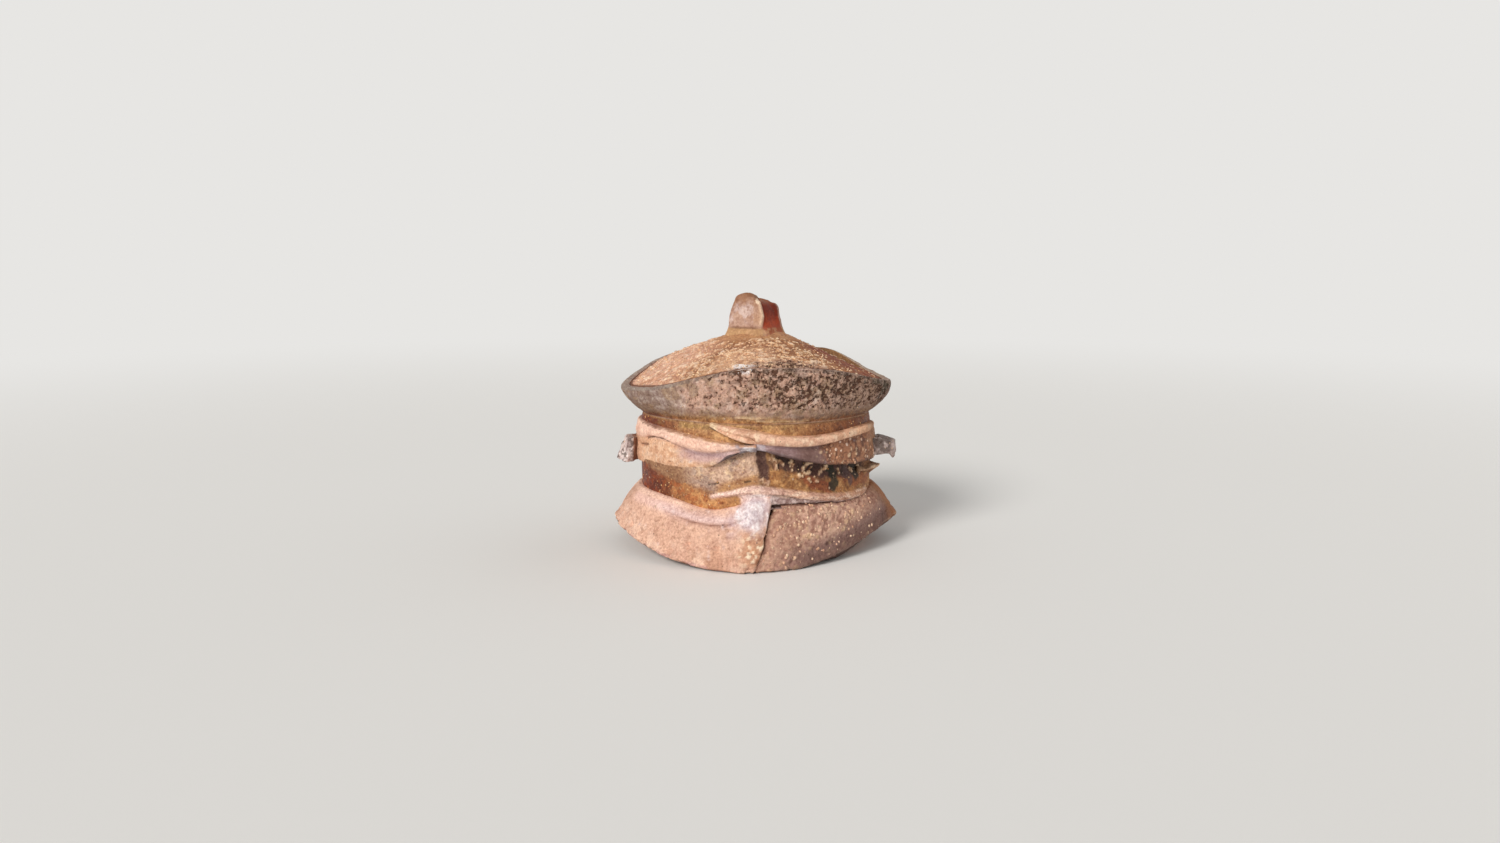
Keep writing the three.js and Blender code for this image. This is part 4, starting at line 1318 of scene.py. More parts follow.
def make_collar():
    root = offset(wall_outside, -1.4)
    bottom = COLLAR_BOTTOM + 0.1

    def flare(share):
        return lambda a: bottom + (rim_top(a) - 2.5 - bottom) * share

    def fuller(share):
        return lambda a: root(a) + (rim(a) - root(a)) * (share + 0.13 * bump(a, 358, 16))

    seat = offset(lid_seat, LID_CLEARANCE)
    collar = Clay(
        [
            (cavity, bottom, 0, 5),
            (root, bottom, 0.15, 0.72),
            (fuller(0.42), flare(0.3), 7, 0.72),
            (fuller(0.78), flare(0.65), 7, 0.72),
            (rim, flare(1), 1.6, 0.66),
            (offset(rim, -1.25), rim_top, 1.2, 0.7),
            (seat, rim_top, 0.7, 1.0),
            (seat, ledge_height, 0.4, 1.6),
            (cavity, ledge_height, 0.8, 2.5),
        ],
        angles_round(0.8),
    )
    paint, push = collar.paint, collar.push
    deg, z = collar.degrees, collar.height
    outside = collar.fresh(1, 2, 3, 4) * smooth(bottom - 0.5, bottom + 1.5, z)
    top = collar.fresh(5)
    inside = collar.fresh(8, 0)
    height_share = (z - bottom) / (rim_top(collar.angle) - bottom)
    weather(collar, where=outside + 0.25 * top, deep=0.6, middle=0.3, fine=0.16)
    push(inside * (0.3 * np.sin(z / 4.6) + 0.25 * collar.lumps(26, 3)))
    burst = along(
        deg, (0, 0.8), (40, 0.55), (100, 0.25), (190, 0.05), (225, 0.12), (240, 0.34), (254, 0.66),
        (266, 0.88), (300, 1), (345, 0.95), (360, 0.8),
    )
    burst = np.clip(burst + 0.22 * collar.lumps(19, 90), 0, 1) * smooth(0.1, 0.36, height_share)
    holes = smooth(0.1, 0.45, collar.rough(3.3, 91, 2) - 0.9 * (1 - burst)) * smooth(0.02, 0.1, burst)
    holes = np.maximum(
        holes, smooth(0.4, 0.75, collar.spot(277, 124.5, 3.4, 4) + 0.4 * collar.rough(4, 99, 2))
    )
    push(-0.9 * outside * holes)
    push(0.3 * outside * (1 - holes) * burst * collar.blotches(2.4, 92, -0.2, 0.8, 2))
    seams = np.maximum(
        collar.near([(259, 101.9), (268, 101.2), (276, 101.4)], 0.5),
        collar.near([(270, 99.3), (280, 98.8), (292, 98.4), (299, 98.6)], 0.5),
    )
    push(0.55 * outside * seams)
    edge = collar.fresh(4) + 0.6 * top
    worn = 0.5 * collar.rough(14, 93, 3) + 0.7 * collar.rough(5, 107, 2) * bump(collar.angle, 281, 16)
    collar.lift(edge * np.clip(worn - 0.1, -1.3, 0.6))
    z = collar.height
    ragged = collar.rough(3, 100, 3)

    paint((178, 152, 138), 1)
    paint(
        (130, 106, 94),
        0.8 * outside * smooth(238, 214, deg + 4 * collar.lumps(12, 94)) * smooth(95, 145, deg),
    )
    paint((208, 162, 138), 0.85 * outside * span(deg, 222, 238, 300, 324))
    paint((178, 158, 154), 0.3 * outside * collar.blotches(9, 96, 0.1, 0.5, 2))
    paint((158, 126, 94), 0.7 * outside * collar.blotches(8, 101, 0.1, 0.5, 2))
    side = deg + 3 * collar.lumps(12, 95)
    paint((168, 128, 104), 0.8 * outside * smooth(296, 330, side))
    paint(
        (196, 160, 140),
        0.7 * outside * smooth(292, 322, side) * smooth(350, 336, deg) * smooth(0.05, 0.4, ragged),
    )
    paint((88, 56, 42), 0.8 * outside * smooth(334, 350, deg))
    paint((128, 98, 78), 0.6 * smooth(70, 0, side) * (deg < 90))
    paint((232, 214, 202), 0.25 * outside * smooth(0.35, 0.6, ragged) * smooth(320, 295, deg))
    paint((108, 80, 64), 0.55 * outside * smooth(0.25, 0.5, -ragged))
    pit_colour = turning((96, 62, 42), (122, 70, 50), smooth(288, 276, deg))
    paint(pit_colour, 0.38 * outside * smooth(0.2, 0.9, holes))
    olive = collar.spot(339, 122, 8, 3.5) + collar.spot(346, 115, 4, 5) + 0.35 * ragged
    paint((58, 52, 32), 0.85 * outside * smooth(0.3, 0.6, olive))
    band_top = along(deg, (180, 97), (239, 98.6), (272, 98), (306, 96.4), (335, 97.5), (360, 97))
    band = smooth(6.0, 0.5, z + 1.1 * ragged - band_top)
    above_band = smooth(13, 5, z - bottom + 2 * ragged) * (1 - band)
    paint((126, 96, 72), 0.8 * outside * above_band * (1 - 0.4 * smooth(236, 262, deg)))
    paint(0.5 * neck_colour(deg) + 0.5 * fired(148, 118, 74), outside * band)
    paint(neck_colour(deg), outside * smooth(3.5, 0.5, z - bottom + 0.8 * ragged))
    paint((236, 202, 160), 0.85 * outside * seams)
    low_right = smooth(3.2, 0.8, np.abs(z - 100.5)) * smooth(286, 296, deg)
    paint((92, 62, 44), 0.7 * outside * smooth(0.1, 0.4, ragged) * low_right)
    paint((134, 118, 108), 0.85 * edge * smooth(238, 222, deg) * smooth(95, 145, deg))
    paint((132, 108, 92), 0.8 * edge * collar.blotches(5, 97, -0.6, 0.4) * smooth(222, 240, deg))
    paint(BURNT_AND_SHADE, 0.7 * edge * collar.blotches(4, 98, 0.0, 0.35, 3) * smooth(218, 236, deg))
    paint(
        (240, 226, 220),
        0.9 * smooth(0.35, 0.6, collar.spot(264, 135, 5, 3) + 0.3 * ragged) * (edge + outside),
    )
    # The seat's faces round the lid are painted dark brown, as painted shade in the gap between lid and
    # collar.
    paint((96, 64, 48), collar.fresh(6, 7))
    paint((184, 150, 132), 0.8 * collar.fresh(6, 7) * span(deg, 262, 270, 300, 312))
    paint((196, 150, 130), collar.fresh(6, 7) * smooth(236, 212, deg) * smooth(95, 145, deg))
    swell = bump(collar.angle, 40, 30)
    paint((150, 112, 76), 0.9 * collar.fresh(6, 7) * swell)
    paint((186, 170, 152), 0.8 * edge * swell)
    paint(INSIDE_CLAY, inside)
    paint(AMBER, 0.7 * inside * collar.blotches(34, 5, -0.1, 0.6))
    collar.masks["melt"] = outside * band * 0.9 + 0.5 * inside
    collar.masks["crust"] = outside * (1 - band) * (0.12 + 0.46 * burst + 0.22 * holes)
    collar.masks["fleck"] = 0.1 * outside * (1 - band)
    return collar.mesh("collar_clay", {8: 1, 0: 1}, [CRUST_MATERIAL, INSIDE_MATERIAL])


# Lid


def lid_under(angle):
    return ledge_height(angle) + LID_REST


tenon_inside = offset(cavity, -TENON_CLEARANCE - TENON_WIDTH)


def make_lid_plate():
    def slope(share):
        return between(level(PAD_RADIUS), lid_seat, share), lambda a: PAD + (rim_height(a) - PAD) * share

    under = PAD - LID_THICK
    plate = Clay(
        [
            (3, under, 0, 6),
            (PAD_RADIUS, under, 6, 3),
            (offset(tenon_inside, -3), lambda a: lid_under(a) + 2, 2, 2),
            (offset(tenon_inside, -0.5), lid_under, 1, 3),
            (offset(lid_seat, -1), lid_under, 0.5, 1),
            (offset(lid_seat, 0.7), lambda a: lid_under(a) + 1, 0.4, 0.9),
            (offset(lid_seat, 0.7), lambda a: rim_height(a) - 0.6, 0.5, 0.7),
            (*slope(0.99), 0.6, 0.75),
            (*slope(0.5), 6, 0.75),
            (PAD_RADIUS, PAD, 9, 1.1),
            (12, PAD, 0, 4),
            (3, PAD, 0, 4),
        ],
        angles_round(0.85),
        dome=True,
    )
    paint, push = plate.paint, plate.push
    deg = plate.degrees
    away = np.hypot(plate.x, plate.y)
    share = away / lid_seat(plate.angle)
    top = plate.fresh(7, 8, 9)
    inner = top * smooth(0.995, 0.96, share)
    weather(plate, where=inner + 0.3 * top, deep=0.6, middle=0.3, fine=0.16)
    plate.lift(top * 1.9 * hill(away - 15, 6.5))
    crumb_share = along(
        deg, (0, 0), (50, 0.5), (90, 0.8), (150, 0.7), (180, 0.4), (205, 0.55), (228, 0.85), (290, 1),
        (312, 0.7), (332, 0.15), (345, 0), (360, 0),
    )
    crumb_share = crumb_share * smooth(22, 30, away)
    stretch = np.array((0.6, 1, 1))
    crust = rough(plate.points * stretch, 2.6, 101, 3)
    crumbs = smooth(0.05, 0.4, crust - 0.7 * (1 - crumb_share))
    push(inner * crumbs * 0.7)
    lid_edge = plate.fresh(6, 7) * smooth(0.9, 0.98, share)
    plate.lift(0.7 * lid_edge * plate.rough(3.4, 116, 2) * bump(plate.angle, 284, 24))

    paint(INSIDE_CLAY, 1)
    paint((190, 134, 94), top)
    paint((160, 108, 68), 0.8 * top * plate.blotches(9, 102, -0.2, 0.5))
    paint((134, 84, 56), 0.85 * inner * crumb_share * smooth(0.0, 0.3, -crust))
    left_end = (
        smooth(240, 204, deg + 5 * plate.lumps(12, 105)) * smooth(110, 150, deg) * smooth(0.25, 0.55, share)
    )
    paint((226, 172, 144), top * left_end)
    paint((204, 146, 112), 0.6 * top * left_end * smooth(0.1, 0.5, rough(plate.points * stretch, 5, 110, 2)))
    right_end = smooth(312, 338, deg + 5 * plate.lumps(12, 106)) + smooth(55, 20, deg) * (deg < 90)
    paint((122, 46, 4), 0.95 * top * np.minimum(right_end, 1) * smooth(0.3, 0.5, share))
    paint((176, 112, 58), 0.45 * top * right_end * plate.blotches(5, 111, 0.0, 0.5))
    paint((190, 138, 98), 0.95 * top * smooth(31, 23, away + 2.5 * plate.lumps(9, 112)))
    paint((224, 174, 140), 0.7 * inner * span(deg, 232, 244, 276, 292) * smooth(0.4, 0.7, share))
    paint((238, 196, 154), 0.8 * inner * crumbs * smooth(22, 28, away))
    paint((244, 208, 184), 0.7 * inner * np.minimum(left_end, 1) * smooth(0.25, 0.5, crust))
    paint(
        (246, 214, 188),
        0.7 * inner * smooth(0.3, 0.6, crust - 0.5 * (1 - crumb_share)) * smooth(24, 30, away),
    )
    front_edge = smooth(0.86, 0.95, share + 0.03 * crust) * span(deg, 238, 250, 300, 330)
    paint((238, 206, 184), 0.2 * top * front_edge * smooth(-0.2, 0.3, crust))
    frost = plate.spot(264.6, 136, 6.5, 4) * smooth(0.85, 0.95, share)
    paint((242, 230, 226), 0.9 * top * smooth(0.35, 0.6, frost + 0.3 * crust))
    burst = top * smooth(0.84, 0.94, share + 0.08 * plate.rough(5, 113, 3)) * span(deg, 262, 274, 298, 314)
    # Dark blotches along the outer edge of the top are painted shade of the gap round the lid.
    paint(
        (92, 58, 42),
        0.8 * top * smooth(0.965, 0.985, share) * plate.blotches(5, 109, 0.0, 0.3, 3) * (1 - burst),
    )
    push(-0.7 * burst * plate.blotches(3.4, 114, 0.0, 0.4, 2))
    paint((178, 138, 116), 0.75 * burst)
    plate.masks["crust"] = 0.75 * burst
    # The lid's side is painted dark brown, as painted shade in the gap round it.
    paint((120, 78, 58), plate.fresh(5, 6))
    broken = plate.blotches(4.5, 115, -0.05, 0.2, 2) * span(deg, 262, 270, 306, 320)
    paint((188, 152, 132), 0.9 * plate.fresh(5, 6) * broken)
    plate.masks["fleck"] = 0.35 * inner * smooth(24, 32, away) * (0.1 + 0.9 * crumb_share)
    plate.masks["melt"] = 0.15 * inner * (right_end + smooth(34, 24, away)) + 0.15 * inner
    plate.masks["scatter"] = inner * smooth(23, 30, away) * (0.02 + 0.98 * crumb_share)
    return plate.mesh("lid_plate_clay", {}, [LID_MATERIAL])


def knob_block(half):
    square = outline(half, half, KNOB_POWER)
    return lambda angle: square(angle - KNOB_TURN)


def make_knob():
    seat, high = PAD - 0.6, PAD + SEAM + KNOB_HEIGHT - KNOB_TILT / 2

    def tilt(radius, z):
        return lambda a: z - KNOB_TILT * radius * np.cos(a) / KNOB_WIDTH

    knob = Clay(
        [
            (2, seat, 0, 5),
            (knob_block(18.6), seat, 0.5, 0.45),
            (knob_block(16.4), PAD + 4.8, 3, 0.45),
            (knob_block(15.0), PAD + 13, 4, 0.45),
            (knob_block(13.9), high - 9, 4, 0.45),
            (knob_block(11), tilt(11, high - 3), 1.8, 0.4),
            (knob_block(7.9), tilt(7.9, high - 1.2), 1.6, 0.4),
            (1.0, tilt(1.0, high - 0.8), 0, 0.8),
        ],
        angles_round(2.3),
        dome=True,
    )
    paint, push = knob.paint, knob.push
    shown = knob.fresh(1, 2, 3, 4, 5, 6, 7)
    z = knob.height
    up = smooth(PAD + 4, PAD + 12, z)
    weather(knob, where=shown * (0.35 + 0.65 * up), deep=0.7, middle=0.5, fine=0.16, seed=121)
    cut_edge = np.interp(z, (PAD + 3, PAD + 8, PAD + 14, PAD + 20, PAD + 27), (279, 281, 285, 281, 277))
    round_knob = np.degrees(np.mod(knob.angle, TURN))

    def facing(middle, half):
        return smooth(half, half * 0.55, np.abs(turn_from(round_knob, middle)))

    from_cut = round_knob - cut_edge
    cut = span(from_cut, 1, 7, 60, 74) * up
    push(-1.3 * shown * cut * smooth(high + 2, high - 6, z))
    push(-0.8 * shown * up * facing(238, 34) * smooth(high - 2, high - 12, z))
    push(1.1 * shown * up * hill(from_cut + 1.5, 5) * smooth(high, high - 6, z))
    chisel = hill(z - PAD - 5.6, 0.7) * facing(240, 44)
    push(-0.9 * shown * chisel)
    lobes = smooth(high - 7, high - 2, z)
    hump = hill(knob.x + 5, 4) * smooth(9, 5, np.abs(knob.y))
    notch = 2.2 * hill(knob.x - 1.2, 1.5) * smooth(6, -4, knob.y)
    knob.lift(shown * lobes * (hump - notch - 1.5 * smooth(0.5, 2.5, knob.x) - 0.8 * smooth(9, 12, knob.x)))
    z = knob.height
    away = np.hypot(knob.x, knob.y)
    ragged = knob.rough(2.6, 126, 3)

    paint((196, 158, 138), 1)
    paint(
        (218, 192, 184),
        0.75 * knob.blotches(7, 122, -0.1, 0.4) * smooth(PAD + 7, PAD + 12, z) * smooth(285, 262, round_knob),
    )
    paint((160, 116, 96), 0.55 * smooth(0.05, 0.5, ragged))
    paint((186, 142, 112), 0.7 * facing(274, 14) * up)
    red = span(from_cut, 1, 7, 86, 102) * smooth(PAD + 1, PAD + 9, z + 1.5 * knob.rough(5, 125, 2))
    paint((126, 44, 22), red)
    paint((96, 48, 38), 0.25 * red * knob.blotches(5, 127, 0.0, 0.5))
    paint((140, 92, 68), 0.85 * red * smooth(high - 8, high - 3, z))
    paint((190, 76, 38), 0.8 * red * smooth(PAD + 19, PAD + 7, z + 2 * ragged))
    paint((150, 76, 56), 0.8 * facing(32, 34) * up)
    foot = smooth(PAD + 6.2, PAD + 4.6, z)
    paint((190, 146, 104), foot * smooth(292, 280, round_knob))
    paint((176, 94, 54), foot * smooth(284, 296, round_knob) * 0.8)
    paint((214, 168, 128), 0.6 * foot * knob.blotches(3.4, 128, 0.1, 0.5))
    paint((128, 92, 68), 0.7 * chisel)
    paint((154, 106, 76), 0.85 * smooth(high - 9, high - 3, z + 1.5 * ragged) * smooth(3, -1, knob.x))
    paint((146, 98, 68), 0.85 * smooth(high - 4.5, high - 1.8, z) * smooth(11, 8, away))
    # A pale cream line down the knob's front edge is a painted highlight.
    ridge = hill(from_cut + 1.0, 3.2) * smooth(PAD + 6, PAD + 9, z)
    paint((240, 206, 176), 0.9 * ridge * smooth(high - 1, high - 5, z))
    at_front = hill(round_knob - 276, 9) * hill(z - high + 4, 2.2) * smooth(5, 8, away)
    blob = smooth(0.35, 0.7, at_front + 0.15 * ragged)
    push(0.6 * blob)
    paint((246, 218, 190), 0.9 * blob)
    paint(
        (150, 104, 84),
        0.75 * smooth(high - 5, high - 2.4, z) * smooth(4.5, 6.5, knob.x) * smooth(0.0, 0.3, ragged),
    )
    knob.masks["melt"] = 0.12 * red + 0.1
    return knob.mesh("lid_knob_clay", {}, [KNOB_MATERIAL])


# Lugs, each with four upright corners: the angle, how far it stands out, its bottom and top, and its lean

LEFT_LUG = ((177, 0, 62, 80, 0), (186, 15.5, 63.5, 80, 7.5), (193.5, 8.5, 61, 79, 5), (188, 0, 61.5, 80, 0))
RIGHT_LUG = ((344, 0, 66, 80, 0), (351, 13.5, 67, 76, 0.5), (359, 15, 67, 75.5, 0.5), (364, 0, 66, 80, 0))


def rounded_plan(corners, centre):
    """Reach from a centre to a polygon with softened corners."""
    loop = np.array(corners)
    for _ in range(2):
        after = np.roll(loop, -1, 0)
        loop = np.stack([loop + (after - loop) * 0.14, loop + (after - loop) * 0.86], 1).reshape(-1, 2)
    steps = np.linspace(0, 1, 40, endpoint=False)[:, None]
    after = np.roll(loop, -1, 0)
    dense = np.concatenate([a + (b - a) * steps for a, b in zip(loop, after)]) - centre
    turn = np.arctan2(dense[:, 1], dense[:, 0])
    order = np.argsort(turn)
    return lambda angle: np.interp(angle, turn[order], np.hypot(*dense[order].T), period=TURN)


def make_lug(corners, seed):
    low, high, places, bottoms, tops = [], [], [], [], []
    for degrees, reach, bottom, top, lean in corners:
        root = -4 if reach == 0 else 0
        distance = strip_face(np.array(rad(degrees))) + 2 * SEAM + reach + root
        way = np.array((math.cos(rad(degrees)), math.sin(rad(degrees))))
        low.append(way * distance)
        high.append(way * (distance - lean))
        places.append((*(way * distance), 1))
        bottoms.append(bottom)
        tops.append(top)
    centre = (np.mean(low, 0) + np.mean(high, 0)) / 2
    low_plan, high_plan = rounded_plan(low, centre), rounded_plan(high, centre)
    bottom_fit = np.linalg.lstsq(np.array(places), np.array(bottoms), rcond=None)[0]
    top_fit = np.linalg.lstsq(np.array(places), np.array(tops), rcond=None)[0]
    tall = float(np.mean(tops) - np.mean(bottoms))
    block = Clay(
        [
            (lambda a: low_plan(a) * 0.12, 0, 0, 0.7),
            (low_plan, 0, 1.3, 0.45),
            (high_plan, tall, 1.0, 0.45),
            (lambda a: high_plan(a) * 0.12, tall, 0, 0.7),
        ],
        np.arange(150) * TURN / 150,
        dome=True,
        centre=centre,
    )
    share = block.height / tall
    x, y = block.x, block.y
    bottom = bottom_fit[0] * x + bottom_fit[1] * y + bottom_fit[2]
    top = top_fit[0] * x + top_fit[1] * y + top_fit[2]
    block.points[..., 2] = bottom + share * (top - bottom)
    block.refresh()
    block.push(0.5 * block.rough(9, seed, 2) + 0.22 * block.rough(3, seed + 3, 2))
    return block


def make_left_lug():
    lug = make_lug(LEFT_LUG, 131)
    out = np.hypot(lug.x, lug.y) - strip_face(lug.angle)
    lug.push(-0.8 * smooth(3.0, 1.0, out))
    lug.paint(LUG_PALE, 1)
    lug.paint((134, 108, 102), 0.7 * lug.blotches(5, 133, -0.2, 0.4))
    lug.paint((226, 210, 206), 0.6 * lug.blotches(3.4, 134, 0.1, 0.5))
    lug.paint((98, 80, 72), 0.8 * lug.blotches(2.6, 136, 0.15, 0.45))
    # Where it meets the strip it is painted brown, as painted shade at its root.
    lug.paint((140, 102, 84), smooth(3.2, 1.4, out + 0.8 * lug.rough(4, 135, 2)))
    lug.masks["fleck"] = 0.2
    return lug.mesh("lug_left_clay", {}, [LUG_MATERIAL])


def make_right_lug():
    lug = make_lug(RIGHT_LUG, 141)
    out = np.hypot(lug.x, lug.y) - strip_face(lug.angle)
    lug.push(-0.9 * smooth(3, 1.2, out))
    drip = lug.spot(352, 67, 2.5, 4) * smooth(10, 13, out)
    lug.lift(-3.2 * drip)
    lug.paint(LUG_GREY, 1)
    lug.paint(LUG_PALE, 0.7 * lug.blotches(6, 143, 0.0, 0.6))
    lug.paint((96, 84, 76), 0.6 * lug.blotches(4, 144, 0.2, 0.7))
    lug.paint(LUG_PALE, 0.5 * smooth(10, 14, out))
    lug.masks["fleck"] = 0.25
    lug.masks["melt"] = 0.3
    return lug.mesh("lug_right_clay", {}, [LUG_MATERIAL])


# What repeats, made with Geometry Nodes


def dress(tree, out, geometry, domain, tint, material):
    """Ends a geometry tree: stores the tint, makes the instances real and sets the material."""
    inputs = {"Geometry": geometry, "Name": "tint", "Value": tint}
    tinted = put(tree, "GeometryNodeStoreNamedAttribute", inputs, data_type="FLOAT_COLOR", domain=domain)
    real = put(tree, "GeometryNodeRealizeInstances", {"Geometry": tinted.outputs[0]})
    dressed = put(tree, "GeometryNodeSetMaterial", {"Geometry": real.outputs[0], "Material": material})
    return put_out(tree, out, {"Geometry": dressed.outputs[0]})


def make_fleck_tree():
    """Small lumps of ash, scattered over a surface where its scatter mask allows."""
    inputs = {
        "Geometry": "Geometry",
        "Surface": "Object",
        "Per Square Metre": 100000.0,
        "Smallest": 0.0005,
        "Largest": 0.0012,
        "Flatness": 0.5,
        "Run": 1.0,
        "Pale": (0.8, 0.6, 0.4, 1),
        "Dark": (0.4, 0.3, 0.2, 1),
        "Seed": 1,
        "Material": "Material",
    }
    tree, given, out = new_tree("ash lumps", "GeometryNodeTree", inputs, {"Geometry": "Geometry"})
    times, _, _ = arithmetic(tree)
    surface = put(tree, "GeometryNodeObjectInfo", {"Object": given["Surface"]}, transform_space="ORIGINAL")
    allowed = put(tree, "GeometryNodeInputNamedAttribute", {"Name": "scatter"}, data_type="FLOAT")
    density = times(allowed.outputs["Attribute"], given["Per Square Metre"])
    inputs = {"Mesh": surface.outputs["Geometry"], "Density": density, "Seed": given["Seed"]}
    points = put(tree, "GeometryNodeDistributePointsOnFaces", inputs, distribute_method="RANDOM")
    inputs = {2: given["Smallest"], 3: given["Largest"], 8: given["Seed"]}
    size = put(tree, "FunctionNodeRandomValue", inputs, data_type="FLOAT").outputs[1]
    long, tall = times(size, given["Run"]), times(size, given["Flatness"])
    scale = put(tree, "ShaderNodeCombineXYZ", {0: size, 1: long, 2: tall})
    lump = put(tree, "GeometryNodeMeshIcoSphere", {"Radius": 1.0, "Subdivisions": 1})
    smooth_lump = put(tree, "GeometryNodeSetShadeSmooth", {"Geometry": lump.outputs["Mesh"]})
    inputs = {key: points.outputs[key] for key in ("Points", "Rotation")}
    inputs.update({"Instance": smooth_lump.outputs[0], "Scale": scale.outputs[0]})
    placed = put(tree, "GeometryNodeInstanceOnPoints", inputs)
    share = put(tree, "FunctionNodeRandomValue", {8: 5}, data_type="FLOAT")
    tone = blend_colour(tree, share.outputs[1], given["Dark"], given["Pale"])
    return dress(tree, out, placed.outputs[0], "INSTANCE", tone, given["Material"])


def grow(name, tree, values):
    """Runs a geometry tree and keeps its result as a plain mesh."""
    holder = place_object(name + "_holder", bpy.data.meshes.new(name + "_holder"))
    modifier = holder.modifiers.new("nodes", "NODES")
    modifier.node_group = tree
    identifiers = {item.name: item.identifier for item in tree.interface.items_tree if item.in_out == "INPUT"}
    for label, value in values.items():
        modifier[identifiers[label]] = value
    bpy.context.view_layer.update()
    evaluated = holder.evaluated_get(bpy.context.evaluated_depsgraph_get())
    mesh = bpy.data.meshes.new_from_object(evaluated)
    mesh.name = name
    holder.modifiers.remove(modifier)
    bpy.data.objects.remove(holder)
    return place_object(name, mesh)


def make_ring_tree():
    """The locating ring: a rounded section that follows the jar's mouth and the dip of its rim."""
    inputs = {
        "Geometry": "Geometry",
        "Side": 0.07,
        "Front": 0.06,
        "Power": 1.9,
        "Width": 0.006,
        "Depth": 0.008,
        "Level": 0.12,
        "Dip Left": 0.0185,
        "Dip Right": 0.015,
        "Swell": 0.0035,
        "Tint": (0.4, 0.25, 0.16, 1),
        "Material": "Material",
    }
    tree, given, out = new_tree("locating ring", "GeometryNodeTree", inputs, {"Geometry": "Geometry"})
    times, plus, minus = arithmetic(tree)
    work = functools.partial(math_node, tree)

    grid = put(
        tree, "GeometryNodeMeshGrid", {"Size X": 1.0, "Size Y": 1.0, "Vertices X": 361, "Vertices Y": 25}
    )
    place = put(tree, "ShaderNodeSeparateXYZ", {0: put(tree, "GeometryNodeInputPosition").outputs[0]})
    angle = times(plus(place.outputs[0], 0.5), TURN)
    round_section = times(plus(place.outputs[1], 0.5), -TURN)
    cosine, sine = work("COSINE", angle), work("SINE", angle)

    def plan_part(wave, half):
        return work("POWER", work("DIVIDE", work("ABSOLUTE", wave), half), given["Power"])

    parts = plus(plan_part(cosine, given["Side"]), plan_part(sine, given["Front"]))
    plan = work("POWER", parts, work("DIVIDE", -1.0, given["Power"]))

    def square_wave(function, size):
        wave = work(function, round_section)
        return times(times(times(work("SIGN", wave), work("POWER", work("ABSOLUTE", wave), 0.35)), size), 0.5)

    reach = plus(plan, square_wave("COSINE", given["Width"]))
    to_left = work("MAXIMUM", times(cosine, -1.0), 0.0)
    turned = minus(angle, times(to_left, RIM_TURN))
    turned_cosine = work("COSINE", turned)
    is_front_left = times(work("LESS_THAN", turned_cosine, 0.0), work("LESS_THAN", work("SINE", turned), 0.0))
    sharpness = plus(4.0, times(is_front_left, -2.3))
    deeper = times(work("LESS_THAN", cosine, 0.0), minus(given["Dip Left"], given["Dip Right"]))
    dip = times(work("POWER", work("ABSOLUTE", turned_cosine), sharpness), plus(given["Dip Right"], deeper))
    from_swell = work("DIVIDE", minus(angle, rad(SWELL_AT)), rad(SWELL_SPREAD))
    hump = times(given["Swell"], work("EXPONENT", times(times(from_swell, from_swell), -1.0)))
    height = plus(plus(minus(given["Level"], dip), hump), square_wave("SINE", given["Depth"]))
    spot = put(tree, "ShaderNodeCombineXYZ", {0: times(reach, cosine), 1: times(reach, sine), 2: height})
    bent = put(
        tree, "GeometryNodeSetPosition", {"Geometry": grid.outputs["Mesh"], "Position": spot.outputs[0]}
    )
    joined = put(tree, "GeometryNodeMergeByDistance", {"Geometry": bent.outputs[0], "Distance": 0.00001})
    soft = put(tree, "GeometryNodeSetShadeSmooth", {"Geometry": joined.outputs[0]})
    return dress(tree, out, soft.outputs[0], "POINT", given["Tint"], given["Material"])


def make_tenon():
    depth = TENON_DEPTH + LID_REST - SEAM
    inset = WALL_THICK + TENON_CLEARANCE + TENON_WIDTH / 2
    return grow(
        "lid_tenon_clay",
        make_ring_tree(),
        {
            "Side": (WALL_SIDE - inset) * MM,
            "Front": (WALL_FRONT - inset) * MM,
            "Power": BODY_POWER,
            "Width": TENON_WIDTH * MM,
            "Depth": depth * MM,
            "Level": (RIM - LEDGE_DEPTH - TENON_DEPTH + depth / 2) * MM,
            "Dip Left": DIP_LEFT * MM,
            "Dip Right": DIP_RIGHT * MM,
            "Swell": RIM_SWELL * MM,
            "Tint": (*fired(*INSIDE_CLAY), 1),
            "Material": INSIDE_MATERIAL,
        },
    )


# The jar

finish(make_floor_slab(), "jar", "buff_clay", "floor_slab")
wall_piece = finish(make_wall(), "jar", "ash_brown", "jar_wall")
slabs = {}
for slab_name, slab_start, slab_end in (
    ("skirt_front_left", rad(180), FRONT_SEAM),
    ("skirt_front_right", FRONT_SEAM, rad(360)),
    ("skirt_back_right", 0, rad(90)),
    ("skirt_back_left", rad(90), rad(180)),
):
    slabs[slab_name] = finish(make_skirt_slab(slab_name, slab_start, slab_end), "jar", "buff_clay", slab_name)
finish(make_left_strip(), "jar", "buff_clay", "waist_strip_left")
right_strip = finish(make_right_strip(), "jar", "buff_clay", "waist_strip_right")
finish(make_torn_flap(), "jar", "buff_clay")
finish(make_left_lug(), "jar", "pale_lug", "lug_left")
finish(make_right_lug(), "jar", "pale_lug", "lug_right")
finish(make_collar(), "jar", "grey_ash", "collar")

# The lid

lid_top = finish(make_lid_plate(), "lid", "flecked_clay", "lid_plate")
finish(make_tenon(), "lid", "buff_clay", "lid_tenon")
finish(make_knob(), "lid", "red_flash", "lid_knob")

# Ash lumps

FLECK_TREE = make_fleck_tree()


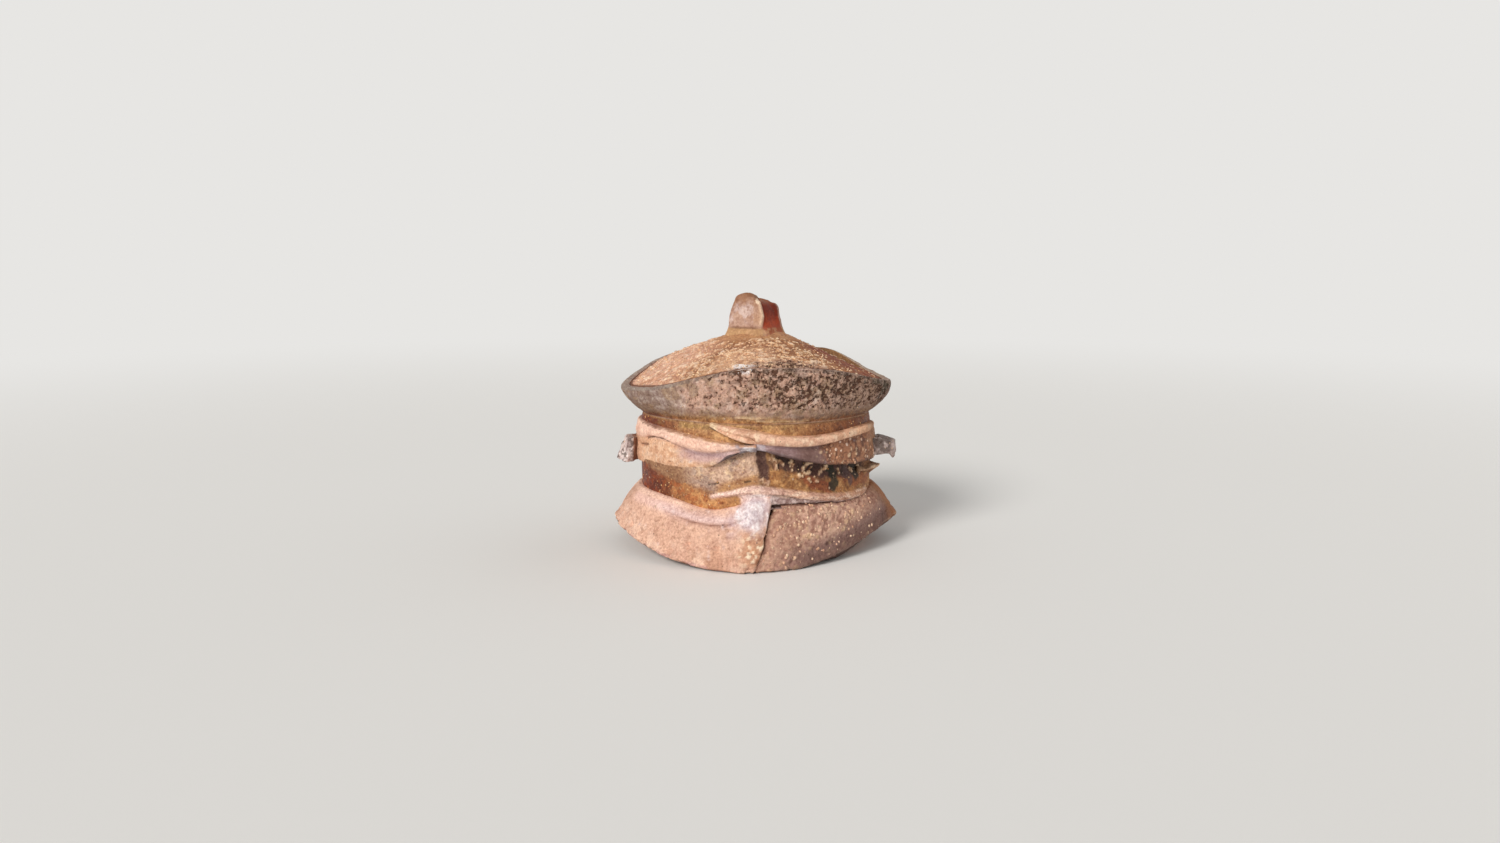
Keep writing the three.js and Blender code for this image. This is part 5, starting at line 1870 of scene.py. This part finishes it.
def scatter_ash(name, surface, count, sizes, flatness, run, pale, dark, seed, material):
    """Ash lumps on a surface: their number on a square metre and their two limits of size in millimetres."""
    values = {
        "Surface": surface,
        "Per Square Metre": count,
        "Smallest": sizes[0] * MM,
        "Largest": sizes[1] * MM,
        "Flatness": flatness,
        "Run": run,
        "Pale": (*fired(*pale), 1),
        "Dark": (*fired(*dark), 1),
        "Seed": seed,
        "Material": material,
    }
    return grow(name, FLECK_TREE, values)


lid_lumps = 130000.0, (0.45, 1.25), 0.5, 0.8, (250, 218, 184), (220, 168, 126), 4, LID_MATERIAL
skirt_lumps = 30000.0, (0.35, 1.3), 0.55, 1.1, (244, 210, 180), (214, 166, 136), 11, CLAY_MATERIAL
wall_lumps = 22000.0, (0.25, 0.7), 0.55, 1.1, (250, 214, 160), (206, 146, 84), 11, CLAY_MATERIAL
strip_lumps = 20000.0, (0.5, 1.5), 0.55, 1.1, (250, 224, 206), (206, 152, 118), 11, CLAY_MATERIAL
finish(scatter_ash("lid_ash_flecks", lid_top, *lid_lumps), "lid", "flecked_clay")
finish(scatter_ash("skirt_ash_crumbs", slabs["skirt_front_right"], *skirt_lumps), "jar", "buff_clay")
finish(scatter_ash("wall_ash_drops", wall_piece, *wall_lumps), "jar", "ash_brown")
finish(scatter_ash("strip_ash_crumbs", right_strip, *strip_lumps), "jar", "buff_clay")


# Floor, light and camera

BACKDROP = (0.8, 0.79, 0.77, 1)


def make_stage():
    data = bpy.data.meshes.new("studio_floor")
    size = 6.0
    data.from_pydata(
        [(-size, -size, 0), (size, -size, 0), (size, size, 0), (-size, size, 0)], [], [(0, 1, 2, 3)]
    )
    floor = place_object("studio_floor", data)
    material = bpy.data.materials.new("pale floor")
    material.use_nodes = True
    tree = material.node_tree
    shader = tree.nodes["Principled BSDF"]
    shader.inputs["Base Color"].default_value = (0.87, 0.86, 0.84, 1)
    shader.inputs["Roughness"].default_value = 0.9
    place = own_place(tree)
    away = put(tree, "ShaderNodeVectorMath", {0: place}, operation="LENGTH").outputs["Value"]
    far = put(tree, "ShaderNodeEmission", {"Color": BACKDROP, "Strength": 1.0})
    mix = put(
        tree, "ShaderNodeMixShader", {0: ramp(tree, away, 0.5, 2.2), 1: shader.outputs[0], 2: far.outputs[0]}
    )
    tree.links.new(mix.outputs[0], tree.nodes["Material Output"].inputs["Surface"])
    data.materials.append(material)


def make_sun(name, direction, strength, softness, colour=(1, 1, 1)):
    data = bpy.data.lights.new(name, "SUN")
    data.energy, data.angle, data.color = strength, rad(softness), colour
    light = place_object(name, data)
    light.location = direction
    light.rotation_euler = Vector(direction).to_track_quat("Z", "Y").to_euler()


def make_world(fill):
    world = bpy.data.worlds.new("studio")
    bpy.context.scene.world = world
    world.use_nodes = True
    tree = world.node_tree
    background = tree.nodes["Background"]
    background.inputs["Color"].default_value = BACKDROP
    ray = put(tree, "ShaderNodeLightPath").outputs
    mirrored = math_node(tree, "ADD", ray["Is Glossy Ray"], ray["Is Transmission Ray"])
    seen = math_node(tree, "ADD", ray["Is Camera Ray"], mirrored, clamp=True)
    strength = put(tree, "ShaderNodeMapRange", {"Value": seen, "To Min": fill, "To Max": 1.0})
    tree.links.new(strength.outputs[0], background.inputs["Strength"])


make_stage()
make_world(0.45)
make_sun("key", (-0.75, -1.0, 0.8), 2.15, 22, (1.0, 0.98, 0.95))
make_sun("fill", (0.9, 0.3, 0.6), 0.4, 60, (0.96, 0.98, 1.0))

lens = bpy.data.cameras.new("camera")
lens.lens, lens.sensor_width = 23.77, 36
lens.clip_start = 0.01
camera = place_object("camera", lens)
camera.location = (-0.0041, -0.721, 0.2021)
camera.rotation_euler = (rad(81), 0, 0)
bpy.context.scene.camera = camera
bpy.context.scene.view_settings.view_transform = "Standard"
